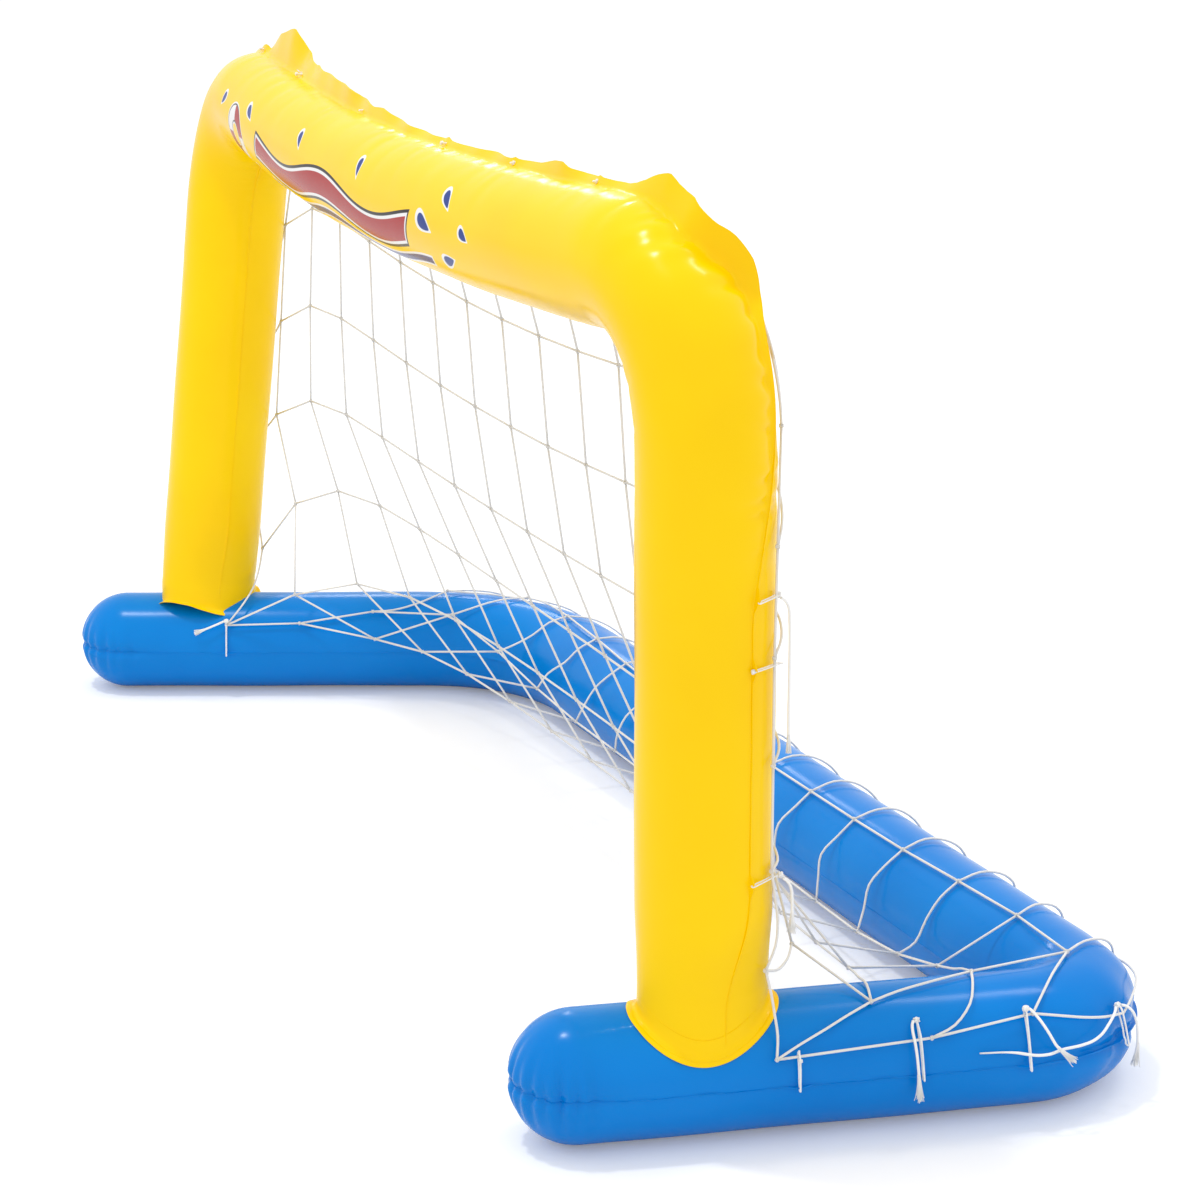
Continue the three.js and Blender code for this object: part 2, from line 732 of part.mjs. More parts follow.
// Points of the cord that leaves knot (i, j) across or down, both knots included
function cordPoints(way, i, j) {
  const end = way === across ? [i + 1, j] : [i, j + 1];
  const points = [];
  for (let k = 0; k <= stepsPerMesh; k += 1) {
    const stepI = i * stepsPerMesh + (way === across ? k : 0);
    const stepJ = j * stepsPerMesh + (way === down ? k : 0);
    points.push(netAt(stepI, stepJ));
  }
  return hangsFree(knotAt(i, j), knotAt(...end)) ? [points[0], points[stepsPerMesh]] : points;
}

const cords = [across, down].map((way) => {
  const rows = [];
  for (let i = 0; i <= meshesAcross; i += 1) {
    rows.push([]);
    for (let j = 0; j <= meshesDown; j += 1) {
      const last = way === across ? i === meshesAcross : j === meshesDown;
      rows[i].push(last ? null : cordPoints(way, i, j));
    }
  }
  return rows;
});
const cordFrom = (way, i, j) => (i < 0 || j < 0 ? null : cords[way][i][j]);
const cordInto = (way, i, j) => cordFrom(way, way === across ? i - 1 : i, way === down ? j - 1 : j);

// Axes of a knot: along the rows, down the columns and square to both
function knotAxes(i, j) {
  const heading = (way) => {
    const direction = new THREE.Vector3();
    const into = cordInto(way, i, j);
    const from = cordFrom(way, i, j);
    if (into) direction.add(into[into.length - 1].clone().sub(into[into.length - 2]).normalize());
    if (from) direction.add(from[1].clone().sub(from[0]).normalize());
    return direction.normalize();
  };
  const row = heading(across);
  const column = heading(down);
  const sum = row.clone().add(column).normalize();
  const difference = row.clone().sub(column).normalize();
  const u = sum.clone().add(difference).normalize();
  const v = sum.clone().sub(difference).normalize();
  return [u, v, u.clone().cross(v)];
}

const knots = [];
for (let i = 0; i <= meshesAcross; i += 1) {
  knots.push([]);
  for (let j = 0; j <= meshesDown; j += 1) knots[i].push({ place: knotAt(i, j), axes: knotAxes(i, j) });
}

const squareCorners = [[-1, -1], [1, -1], [1, 1], [-1, 1]];

// Four corners of a square cord, square to the axis named by way
function cordRing(place, axes, way) {
  const e = axes[(way + 1) % 3];
  const f = axes[(way + 2) % 3];
  return squareCorners.map(([x, y]) => place.clone()
    .addScaledVector(e, x * cordHalf)
    .addScaledVector(f, y * cordHalf));
}

function knotFace(knot, way, end) {
  return cordRing(knot.place.clone().addScaledVector(knot.axes[way], end * cordHalf), knot.axes, way);
}

function cordRings(way, points, from, to) {
  const rings = [];
  for (let k = 1; k < points.length - 1; k += 1) {
    const share = k / (points.length - 1);
    const tangent = points[k + 1].clone().sub(points[k - 1]).normalize();
    const e = from.axes[(way + 1) % 3].clone().lerp(to.axes[(way + 1) % 3], share);
    e.addScaledVector(tangent, -e.dot(tangent)).normalize();
    const axes = [];
    axes[way] = tangent;
    axes[(way + 1) % 3] = e;
    axes[(way + 2) % 3] = tangent.clone().cross(e);
    rings.push(cordRing(points[k], axes, way));
  }
  return rings;
}

// One piece of the net: its knots and the cords between them, and stubs that stop short of other pieces
function netPiece(holds) {
  const points = [];
  const triangles = [];
  const seen = new Map();
  const number = (p) => {
    const key = placeKey(p);
    if (!seen.has(key)) {
      seen.set(key, points.length);
      points.push(p);
    }
    return seen.get(key);
  };
  const quad = (a, b, c, d) => triangles.push([a, b, c].map(number), [a, c, d].map(number));
  const closeRing = (ring, ahead) => (ahead > 0 ? quad(...ring) : quad(...[...ring].reverse()));
  for (let i = 0; i <= meshesAcross; i += 1) {
    for (let j = 0; j <= meshesDown; j += 1) {
      if (!holds(i, j)) continue;
      const knot = knots[i][j];
      closeRing(knotFace(knot, 2, 1), 1);
      closeRing(knotFace(knot, 2, -1), -1);
      for (const way of [across, down]) {
        const from = cordFrom(way, i, j);
        const into = cordInto(way, i, j);
        const nextHeld = from && holds(way === across ? i + 1 : i, way === down ? j + 1 : j);
        if (!nextHeld) closeRing(knotFace(knot, way, 1), 1);
        if (!into) {
          closeRing(knotFace(knot, way, -1), -1);
          continue;
        }
        const beforeI = way === across ? i - 1 : i;
        const beforeJ = way === down ? j - 1 : j;
        const other = knots[beforeI][beforeJ];
        const start = knotFace(other, way, 1);
        const joined = holds(beforeI, beforeJ);
        if (!joined) {
          const heading = into[1].clone().sub(into[0]).normalize();
          for (const p of start) p.addScaledVector(heading, panelGap);
          closeRing(start, -1);
        }
        const rings = [start, ...cordRings(way, into, other, knot), knotFace(knot, way, -1)];
        for (let r = 0; r < rings.length - 1; r += 1) {
          for (let k = 0; k < 4; k += 1) {
            const n = (k + 1) % 4;
            quad(rings[r][k], rings[r][n], rings[r + 1][n], rings[r + 1][k]);
          }
        }
      }
    }
  }
  return closedGeometry(points, triangles);
}

const sideColumns = 2;
const headRows = 1;
const rightSideFrom = meshesAcross - sideColumns;
function pieceOf(i, j) {
  if (j <= headRows) return 'net_head_strip';
  if (j >= rowCountToLeftFoot && i < sideColumns) return 'net_left_wing';
  if (j >= rowCountToFoot && i > rightSideFrom) return 'net_right_wing';
  if (j > rowCountToFoot) return 'net_apron';
  if (i <= sideColumns) return 'net_curtain_left';
  return i >= rightSideFrom ? 'net_curtain_right' : 'net_curtain_middle';
}

// Ties: short loops from an eyelet in the weld fin, round the net's edge cord and back over the fin
const tieHalf = tieCord / 2;
const cordDiagonal = cordHalf * Math.SQRT2;
const tieReach = knotHalfDiagonal + 2 * clearance + tieHalf;
const tieStepDegrees = 9;
const tieSides = 5;
const mitreLimitShare = 0.5;
const finSide = film + weldGap / 2 + clearance + tieHalf;
const eyelets = { arch: [], base: [] };

function alongCord(way, i, j, share) {
  const points = cordFrom(way, i, j);
  const place = share * (points.length - 1);
  const whole = Math.min(Math.floor(place), points.length - 2);
  return points[whole].clone().lerp(points[whole + 1], place - whole);
}

// The station of a tube that faces a point squarely
function stationFacing(point, stations, lengths) {
  const at = (distance) => stationAt(stations, lengths, distance);
  let distance = 0;
  let best = Infinity;
  for (let k = 0; k < stations.length - 1; k += 1) {
    const start = stations[k].middle;
    const run = stations[k + 1].middle.clone().sub(start);
    const share = THREE.MathUtils.clamp(point.clone().sub(start).dot(run) / run.lengthSq(), 0, 1);
    const gap = start.clone().addScaledVector(run, share).distanceTo(point);
    if (gap < best) {
      best = gap;
      distance = THREE.MathUtils.lerp(lengths[k], lengths[k + 1], share);
    }
  }
  for (let pass = 0; pass < 3; pass += 1) {
    const station = at(distance);
    distance += point.clone().sub(station.middle).dot(station.along);
  }
  return { ...at(distance), distance };
}

function tieLoop(station, radius, point, farDegrees) {
  const offset = point.clone().sub(station.middle);
  const sideways = offset.dot(station.side);
  const way = Math.sign(sideways);
  const outward = offset.dot(station.out) / (station.widthShare ?? 1);
  const holdReach = Math.hypot(outward, sideways);
  const holdAngle = Math.atan2(Math.abs(sideways), outward);
  const eyeAt = radius + station.fin - eyeletFromFinTip;
  const tipAt = radius + station.fin + clearance + tieHalf;
  const lowest = radius + clearance + tieHalf;
  const bedAt = THREE.MathUtils.clamp(holdReach - tieReach, lowest, eyeAt);
  const polar = (reach, angle) => new THREE.Vector2(reach * Math.cos(angle), reach * Math.sin(angle));
  const turnAngle = tieReach / holdReach;
  const farAngle = Math.max(farDegrees * toRadians, holdAngle + turnAngle);
  const pastHold = farAngle > holdAngle + 2 * turnAngle;
  const overAt = holdReach + tieReach;
  const farAt = pastHold ? bedAt + tieCord : overAt;
  const route = [new THREE.Vector2(eyeAt, -finSide), new THREE.Vector2(eyeAt, finSide)];
  const bedStart = Math.min(2 * finSide / radius, holdAngle);
  const steps = Math.ceil((farAngle - bedStart) / (tieStepDegrees * toRadians));
  for (let k = 0; k <= steps; k += 1) {
    route.push(polar(bedAt, THREE.MathUtils.lerp(bedStart, farAngle, k / steps)));
  }
  route.push(polar(farAt, farAngle));
  if (pastHold) route.push(polar(overAt, holdAngle + turnAngle));
  route.push(polar(overAt, Math.max(holdAngle - turnAngle, bedStart)));
  route.push(new THREE.Vector2(tipAt, finSide), new THREE.Vector2(tipAt, -finSide));
  const knot = polar(Math.max(farAt, lowest + tieKnotRadius), farAngle);
  const widthShare = station.widthShare ?? 1;
  const lift = (flat, forward) => placeAt(station, flat.x * widthShare, flat.y * way, forward);
  const rings = route.map((here, k) => {
    const before = here.clone().sub(route[(k + route.length - 1) % route.length]).normalize();
    const after = route[(k + 1) % route.length].clone().sub(here).normalize();
    const heading = before.clone().add(after).normalize();
    const mitre = Math.max(heading.dot(after), mitreLimitShare);
    const broad = new THREE.Vector2(-heading.y, heading.x).divideScalar(mitre);
    const ring = [];
    for (let s = 0; s < tieSides; s += 1) {
      const angle = 2 * Math.PI * s / tieSides;
      const flat = here.clone().addScaledVector(broad, tieHalf * Math.cos(angle));
      ring.push(lift(flat, tieHalf * Math.sin(angle)));
    }
    return ring;
  });
  const eye = [-finSide, finSide].map((beside) => lift(new THREE.Vector2(eyeAt, beside), 0));
  return { rings, eye, knot: lift(knot, 0), knotAngle: farAngle, knotReach: knot.length(), way };
}

function loopGeometry(rings) {
  const count = rings[0].length;
  const triangles = [];
  rings.forEach((ring, r) => {
    const next = ((r + 1) % rings.length) * count;
    for (let k = 0; k < count; k += 1) {
      const n = (k + 1) % count;
      triangles.push([r * count + k, r * count + n, next + n], [r * count + k, next + n, next + k]);
    }
  });
  return closedGeometry(rings.flat(), triangles);
}

const innerSide = (station) => ({ ...station, out: station.out.clone().negate(), fin: baseInsideFin });
const plainSide = (station) => station;
const tieKnots = new Map();

function addTie(name, tube, point, farDegrees, hasKnot, turn = plainSide) {
  const onBaseTube = tube === 'base';
  const stations = onBaseTube ? baseStations : archStations;
  const lengths = onBaseTube ? baseLengths : archLengths;
  const station = turn(stationFacing(point, stations, lengths));
  const loop = tieLoop(station, onBaseTube ? baseRadius : archRadius, point, farDegrees);
  eyelets[tube].push(loop.eye);
  let geometry = loopGeometry(loop.rings);
  if (hasKnot) {
    const ball = new THREE.IcosahedronGeometry(tieKnotRadius, 1);
    ball.translate(loop.knot.x, loop.knot.y, loop.knot.z);
    geometry = toGeometry(toSolid(geometry).add(toSolid(weld(ball))));
    const outward = loop.knotReach * Math.cos(loop.knotAngle);
    const sideways = loop.knotReach * Math.sin(loop.knotAngle) * loop.way;
    tieKnots.set(name, { tube, distance: station.distance, outward, sideways, turn });
  }
  ties.push([name, geometry]);
}

// Where along the edge cords the ties sit, as shares of one mesh
const ties = [];
const headTieColumns = [1, 3, 6, 9, 11, 13];
const rearTieColumns = [12, 9, 6, 3];
const justPastShare = 0.07;
const justShortShare = 1 - justPastShare;
const footTieShare = 0.14;
headTieColumns.forEach((column, k) => {
  addTie(`crossbar_tie_${k + 1}`, 'arch', alongCord(across, column, 0, justPastShare), 0, false);
});
const postTieFarDegrees = 42;
const armTieFarDegrees = [46, 46, 32];
const insideTieFarDegrees = 36;
const halfwayShare = 0.45;
const rightPostTies = [[2, halfwayShare, true], [3, justPastShare, false], [5, justPastShare, true]];
rightPostTies.forEach(([row, share, hasKnot], k) => {
  const point = alongCord(down, meshesAcross, row, share);
  addTie(`right_post_tie_${k + 1}`, 'arch', point, hasKnot ? postTieFarDegrees : 0, hasKnot);
});
const leftPostTieRows = [1, 3, 4];
leftPostTieRows.forEach((row, k) => {
  addTie(`left_post_tie_${k + 1}`, 'arch', alongCord(down, 0, row - 1, justShortShare), 0, false);
});
const armTieRows = [8, 9, 10];
armTieRows.forEach((row, k) => {
  const point = alongCord(down, meshesAcross, row - 1, justShortShare);
  addTie(`right_arm_tie_${k + 1}`, 'base', point, armTieFarDegrees[k], true);
});
addTie('right_foot_tie', 'base', alongCord(down, meshesAcross, rowCountToFoot, footTieShare), 0, false);
addTie('left_foot_tie', 'base', knotAt(0, rowCountToLeftFoot), insideTieFarDegrees, true, innerSide);
rearTieColumns.forEach((column, k) => {
  addTie(`rear_tie_${k + 1}`, 'base', alongCord(across, column, meshesDown, justPastShare), 0, false);
});

// Free ends of the ties. Each route starts at a tie's knot: forward along the tube, outward and sideways
const tailRoutes = {
  right_arm_front_tail: ['right_arm_tie_1', [
    [-3.1, 1.2, 0.6], [-4.7, 3.4, 2.6], [-5.6, 6.4, 5], [-6.2, 10, 7.6], [-6.4, 13.7, 10.8],
    [-6.3, 17, 15.8], [-6.1, 19.5, 21.3], [-5.8, 21.2, 27.3], [-5.4, 22.3, 33.3], [-5, 22.8, 39.3],
    [-4.6, 22.9, 45.3], [-4.2, 22.8, 50.3], [-3.8, 22.5, 54.8], [-3.5, 22.2, 58.3], [-3.3, 21.9, 61.3],
  ]],
  right_arm_rear_tail: ['right_arm_tie_2', [
    [2.7, 1.2, 0.6], [4.8, 3.4, 2.6], [6.6, 6.4, 5], [8.4, 10, 7.6], [10.2, 13.7, 10.8],
    [12, 16.2, 14.2], [13.8, 18.2, 17.8], [15.6, 19.8, 21.6], [17.4, 21, 25.4], [19.2, 21.9, 29],
    [21, 22.5, 32.2], [22.6, 22.8, 35], [24.2, 23, 37.6], [25.6, 23, 39.8], [27, 23, 41.6],
  ]],
  right_corner_tail: ['right_arm_tie_3', [
    [2.1, 1.5, 1.5], [3.6, 4.2, 2.6], [4.6, 7.2, 4.8], [5.2, 9.8, 8], [5.6, 11.4, 12],
    [5.9, 12.6, 16.4], [6.1, 13.3, 21], [6.3, 13.7, 25.6], [6.4, 14, 30.2], [6.5, 14.1, 34.8],
    [6.5, 14, 39.4], [6.4, 13.8, 44], [6.3, 13.6, 48.4], [6.2, 13.3, 52.4], [6, 13.1, 55.6],
  ]],
  right_corner_long_tail: ['right_arm_tie_3', [
    [-2.8, 1, 0.6], [-6, 3.9, 1.4], [-10, 6.9, 3.6], [-14, 9.2, 7.4], [-18, 10.3, 12.2],
    [-22.5, 9.9, 16], [-28, 8.3, 18.2], [-33, 7.6, 19], [-38, 8.2, 19], [-43, 10.8, 19],
    [-48, 13.6, 18.9], [-54, 14.5, 18.8], [-60, 14.2, 18.6], [-66, 11.6, 18.4], [-73, 8.4, 17.8],
    [-83, 7, 17], [-94, 6.9, 16.4], [-104, 6.8, 16],
  ]],
  right_post_upper_tail: ['right_post_tie_1', [
    [-1.5, 1.5, 2], [-4, 2.5, 5.2], [-8, 2.9, 7.5], [-13, 2.9, 8.7], [-20, 2.7, 9.3],
    [-28, 2.6, 9.6], [-37, 2.7, 9.7], [-46, 3, 9.6], [-55, 3.3, 9.4], [-64, 3.5, 9.2],
    [-73, 3.6, 9.1], [-82, 3.5, 9.1], [-91, 3.3, 9.2], [-100, 3, 9.4], [-109, 2.8, 9.6], [-118, 2.7, 9.8],
    [-126, 2.8, 9.9],
  ]],
  right_post_lower_tail: ['right_post_tie_3', [
    [-1.5, 1.5, 2], [-4, 2.5, 5], [-7, 2.9, 7], [-10, 3, 8.2], [-13.5, 2.9, 9],
    [-17, 2.8, 9.4], [-20.5, 2.7, 9.6], [-24, 2.7, 9.7], [-27.5, 2.8, 9.7], [-31, 2.9, 9.6],
    [-34.5, 3, 9.5], [-38, 3.1, 9.4], [-41.5, 3.2, 9.4], [-45, 3.2, 9.5], [-48, 3.1, 9.6],
  ]],
  left_foot_tail: ['left_foot_tie', [
    [2.9, 0.2, 0.7], [5.2, 0.4, 1.8], [7.6, 0.8, 2.8], [10, 1.3, 3.8], [12.4, 1.8, 4.7],
    [14.8, 2.3, 5.6], [17.2, 2.8, 6.5], [19.6, 3.3, 7.4], [22, 3.7, 8.3], [24.4, 4.1, 9.2],
    [26.8, 4.5, 10], [29.2, 4.9, 10.8], [31.6, 5.2, 11.6], [34, 5.5, 12.4], [36.4, 5.8, 13.2],
  ]],
};
const tailSides = 8;
const tailStepShare = 2.5;
const tailStep = tailStepShare * tailCord;

function tailPoints(tieName, route) {
  const knot = tieKnots.get(tieName);
  const at = knot.tube === 'base' ? onBase : onArch;
  return route.map(([forward, outward, sideways]) => placeAt(
    knot.turn(at(knot.distance + forward)),
    knot.outward + outward,
    knot.sideways + sideways,
  ));
}

function tail(points) {
  const curve = new THREE.CatmullRomCurve3(points);
  const section = new THREE.Shape(new THREE.Path().absarc(0, 0, tailCord / 2, 0, 2 * Math.PI)
    .getSpacedPoints(tailSides).slice(0, tailSides));
  return weld(new THREE.ExtrudeGeometry(section, {
    steps: Math.round(curve.getLength() / tailStep),
    extrudePath: curve,
    bevelEnabled: false,
  }));
}

// Inflation valves: a flange on the film, a stem that can be pushed in, a plug and a non-return flap
const stemRadius = valveBore + valveStemWall;
const valveSides = 14;

function turned(profile) {
  const points = profile.map(([radius, height]) => new THREE.Vector2(radius, height));
  return weld(new THREE.LatheGeometry([...points, points[0]], valveSides));
}

// Where a valve stands: its middle on the film's outside and the way out
function valveSeat(station, radius, sign, facet) {
  const angle = (facet + 1 / 2) * facetAngle * sign;
  const outward = station.out.clone().multiplyScalar(Math.cos(angle))
    .addScaledVector(station.side, Math.sin(angle));
  outward.addScaledVector(station.run, -outward.dot(station.run)).normalize();
  const middle = station.middle.clone().addScaledVector(outward, radius * Math.cos(facetAngle / 2));
  return { middle, outward };
}

function seatPiece(geometry, seat) {
  const upright = new THREE.Vector3(0, 1, 0);
  geometry.applyQuaternion(new THREE.Quaternion().setFromUnitVectors(upright, seat.outward));
  geometry.translate(seat.middle.x, seat.middle.y, seat.middle.z);
  return geometry;
}

function valveHole(seat) {
  const reach = film + cutOverrun / 2;
  const from = seat.middle.clone().addScaledVector(seat.outward, -reach);
  const to = seat.middle.clone().addScaledVector(seat.outward, reach);
  return roundPin(from, to, stemRadius + clearance, valveSides);
}

function addValve(prefix, seat) {
  const flangeTop = clearance + valveFlangeFilm;
  const flangeReach = stemRadius + valveFlangeReach;
  addPiece(`${prefix}_valve_flange`, seatPiece(turned([
    [stemRadius + clearance, clearance],
    [flangeReach, clearance],
    [flangeReach, flangeTop],
    [stemRadius + clearance, flangeTop],
  ]), seat), clearVinyl);
  const lipTop = -film - clearance;
  const rimRadius = stemRadius + valveRimReach;
  addPiece(`${prefix}_valve_stem`, seatPiece(turned([
    [valveBore, -valveStemIn],
    [stemRadius, -valveStemIn],
    [stemRadius, lipTop - valveRim],
    [rimRadius, lipTop - valveRim],
    [rimRadius, lipTop],
    [stemRadius, lipTop],
    [stemRadius, valveStemOut - valveRim],
    [rimRadius, valveStemOut - valveRim],
    [rimRadius, valveStemOut],
    [valveBore, valveStemOut],
  ]), seat), clearVinyl);
  const capBottom = valveStemOut + clearance;
  const plugRadius = valveBore - clearance;
  const plug = toSolid(turned([
    [0, valveStemOut - valvePlugDepth],
    [plugRadius, valveStemOut - valvePlugDepth],
    [plugRadius, capBottom],
    [rimRadius, capBottom],
    [rimRadius, capBottom + valveRim],
    [0, capBottom + valveRim],
  ]));
  const tab = new THREE.BoxGeometry(2 * valveTabReach, valveRim, valveTabReach);
  tab.translate(rimRadius, capBottom + valveRim / 2, 0);
  addPiece(`${prefix}_valve_plug`, seatPiece(toGeometry(plug.add(toSolid(weld(tab)))), seat), clearVinyl);
  const flap = new THREE.CylinderGeometry(stemRadius, stemRadius, valveFlapFilm, valveSides);
  flap.translate(0, -valveStemIn - clearance - valveFlapFilm / 2, 0);
  addPiece(`${prefix}_valve_flap`, seatPiece(weld(flap), seat), clearVinyl);
}

// Assembly
const archValveStation = onArch(archValveHeight - archStations[0].middle.z);
const baseValveStation = onBase(baseLeftPost - baseValveBehindPost);
const archValve = valveSeat(archValveStation, archRadius, 1, archValveFacet);
const baseValve = valveSeat(baseValveStation, baseRadius, -1, baseValveFacet);
const eyeletPin = ([from, to]) => roundPin(from, to, eyeletRadius, tailSides);
const eyeletPins = (tube) => eyelets[tube].map(eyeletPin);

function cutSheet(geometry, cuts) {
  return toGeometry(cuts.reduce((solid, cut) => solid.subtract(cut), toSolid(geometry)));
}

const armBeds = [[rightSeat, rightArmStation], [leftSeat, leftArmStation]]
  .map(([seat, station]) => armEnvelope(seat, station, baseRadius + clearance));
const archCuts = [...armBeds, ...eyeletPins('arch')];
addPiece('arch_front_sheet', cutSheet(archSheet(-1), archCuts), yellowFilm);
addPiece('arch_rear_sheet', cutSheet(archSheet(1), [...archCuts, valveHole(archValve)]), yellowFilm);
const baseEyelets = eyeletPins('base');
addPiece('base_top_sheet', cutSheet(baseSheet(-1), [...baseEyelets, valveHole(baseValve)]), blueFilm);
addPiece('base_bottom_sheet', cutSheet(baseSheet(1), baseEyelets), blueFilm);
addPiece('right_post_collar', collar(rightFoot, rightSeat, rightArmStation), yellowFilm);
addPiece('left_post_collar', collar(leftFoot, leftSeat, leftArmStation), yellowFilm);
addValve('arch', archValve);
addValve('base', baseValve);
const netPieces = new Set();
for (let i = 0; i <= meshesAcross; i += 1) {
  for (let j = 0; j <= meshesDown; j += 1) netPieces.add(pieceOf(i, j));
}
for (const name of netPieces) addPiece(name, netPiece((i, j) => pieceOf(i, j) === name), whiteCord);
for (const [name, geometry] of ties) addPiece(name, geometry, whiteCord);
const bounds = new THREE.Box3().setFromObject(goal);
for (const [name, [tieName, route]] of Object.entries(tailRoutes)) {
  addPiece(name, tail(tailPoints(tieName, route)), whiteCord);
}

// The origin is the middle of the goal's outline on the floor, its free tie ends left aside
const middle = bounds.getCenter(new THREE.Vector3());
goal.position.set(-middle.x, -middle.y, -bounds.min.z);

export default goal;
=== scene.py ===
# %% [markdown]
# # An inflatable water polo goal
# The real goal is two air tubes of glossy film, a yellow arch that stands on a blue U lying on the
# water, and a knotted white net tied between them. The measured solids come in as a frame that is
# never moved, and every soft solid gets a finished piece in its place.

# %% The frame
import math
import bpy
import numpy as np
from mathutils import Vector, Matrix
from mathutils.kdtree import KDTree


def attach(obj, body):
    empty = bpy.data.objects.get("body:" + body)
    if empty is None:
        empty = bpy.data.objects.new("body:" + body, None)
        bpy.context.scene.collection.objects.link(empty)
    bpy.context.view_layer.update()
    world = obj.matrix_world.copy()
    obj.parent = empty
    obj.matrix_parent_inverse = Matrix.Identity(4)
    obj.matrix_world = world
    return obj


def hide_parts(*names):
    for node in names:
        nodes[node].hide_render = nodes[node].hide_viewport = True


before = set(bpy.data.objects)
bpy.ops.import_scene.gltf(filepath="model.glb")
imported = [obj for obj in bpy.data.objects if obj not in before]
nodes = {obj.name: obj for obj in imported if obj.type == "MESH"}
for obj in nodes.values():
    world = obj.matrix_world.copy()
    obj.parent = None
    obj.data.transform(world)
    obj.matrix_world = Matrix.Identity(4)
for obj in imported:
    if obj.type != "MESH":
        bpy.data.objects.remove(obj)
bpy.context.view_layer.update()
mm = 0.001

# %% [markdown]
# ## Camera
# The photograph was taken with a longish lens from the right front, a little above the crossbar.
# Lens, place and roll were fitted to the outlines of both posts and both base arms.

# %% Camera
azimuth = math.radians(65.312)
elevation = math.radians(16.383)
roll = math.radians(0.118)
camera_distance = 2.6233
aimed_at = Vector((0.35441, -0.08687, 0.36575))
level_right = Vector((math.cos(azimuth), math.sin(azimuth), 0))
ahead = Vector((-math.sin(azimuth) * math.cos(elevation),
                math.cos(azimuth) * math.cos(elevation), -math.sin(elevation)))
level_up = level_right.cross(ahead)
rolled_right = level_right * math.cos(roll) + level_up * math.sin(roll)
rolled_up = level_up * math.cos(roll) - level_right * math.sin(roll)
lens = bpy.data.cameras.new("camera")
lens.lens = 91.885
lens.sensor_width = 36
lens.clip_end = 100
camera = bpy.data.objects.new("camera", lens)
turn = Matrix((rolled_right, rolled_up, -ahead)).transposed().to_4x4()
camera.matrix_world = Matrix.Translation(aimed_at - ahead * camera_distance) @ turn
bpy.context.scene.collection.objects.link(camera)
bpy.context.scene.camera = camera
print("camera at", [round(x, 3) for x in camera.location])

# %% [markdown]
# ## Cord
# Net, ties and loose ends are soft white cord, twisted from three strands. A tube is skinned along
# each route, with a frame carried from point to point so that it never flips. Its map counts turns
# of the twist, so the strands wind evenly however the cord bends.

# %% Cord tubes
cord_parts = {}
twist_length = 7 * mm
odd_way = (0.31, 0.53, 0.79)


def unit(v):
    return v / max(np.linalg.norm(v), 1e-9)


def run_along(points):
    """The distance run at each point of a line."""
    return np.concatenate([[0], np.cumsum(np.linalg.norm(np.diff(points, axis=0), axis=1))])


def between(p, q, u, v, x):
    """The point at mark x on the line through p at mark u and q at mark v."""
    return p * (v - x) / (v - u) + q * (x - u) / (v - u)


def smooth_route(points, per_span, closed=False):
    """Points on the centripetal curve through the given points, evenly shared between them."""
    points = [np.array(p, float) for p in points]
    if closed:
        points = [points[-1], *points, points[0], points[1]]
    else:
        points = [2 * points[0] - points[1], *points, 2 * points[-1] - points[-2]]
    route = []
    for k in range(1, len(points) - 2):
        a, b, c, d = points[k - 1:k + 3]
        gaps = [max(np.linalg.norm(q - p), 1e-9) ** 0.5 for p, q in ((a, b), (b, c), (c, d))]
        t = np.cumsum([0, *gaps])
        for s in range(per_span):
            x = t[1] + (t[2] - t[1]) * s / per_span
            ab = between(a, b, t[0], t[1], x)
            bc = between(b, c, t[1], t[2], x)
            cd = between(c, d, t[2], t[3], x)
            early = between(ab, bc, t[0], t[2], x)
            late = between(bc, cd, t[1], t[3], x)
            route.append(between(early, late, t[1], t[2], x))
    if not closed:
        route.append(points[-2])
    return route


def add_tube(name, route, radius, sides=8, closed=False, thin=1.0):
    """Skins one tube into the named store. thin gives each point's share of the radius."""
    verts, faces, maps = cord_parts.setdefault(name, ([], [], []))
    route = np.array(route, float)
    count = len(route)
    if closed:
        headings = np.roll(route, -1, 0) - np.roll(route, 1, 0)
    else:
        headings = np.gradient(route, axis=0)
    headings /= np.maximum(np.linalg.norm(headings, axis=1), 1e-12)[:, None]
    across = unit(np.cross(headings[0], odd_way))
    turns = 2 * math.pi * np.arange(sides) / sides
    start = len(verts)
    travel = run_along(route) / twist_length
    for point, heading, r in zip(route, headings, radius * np.ones(count) * thin):
        across = unit(across - heading * (across @ heading))
        ring = np.outer(np.cos(turns), across) + np.outer(np.sin(turns), np.cross(heading, across))
        verts.extend(point + r * ring)
    for k in range(count if closed else count - 1):
        here = start + k * sides
        there = start + (k + 1) % count * sides
        far = travel[k + 1] if k + 1 < count else travel[k] + 1
        for s in range(sides):
            n = (s + 1) % sides
            faces.append((here + s, here + n, there + n, there + s))
            maps.append([(s / sides, travel[k]), ((s + 1) / sides, travel[k]),
                         ((s + 1) / sides, far), (s / sides, far)])
    if not closed:
        last = start + (count - 1) * sides
        for end, order in ((start, range(sides - 1, -1, -1)), (last, range(sides))):
            faces.append(tuple(end + s for s in order))
            maps.append([(s / sides, 0.0) for s in order])


def new_piece(name, points, faces, material):
    """A smooth piece at the origin, with its place in its mesh."""
    mesh = bpy.data.meshes.new(name)
    mesh.from_pydata(points, [], faces)
    mesh.polygons.foreach_set("use_smooth", [True] * len(mesh.polygons))
    mesh.materials.append(material)
    piece = bpy.data.objects.new(name, mesh)
    bpy.context.scene.collection.objects.link(piece)
    return piece


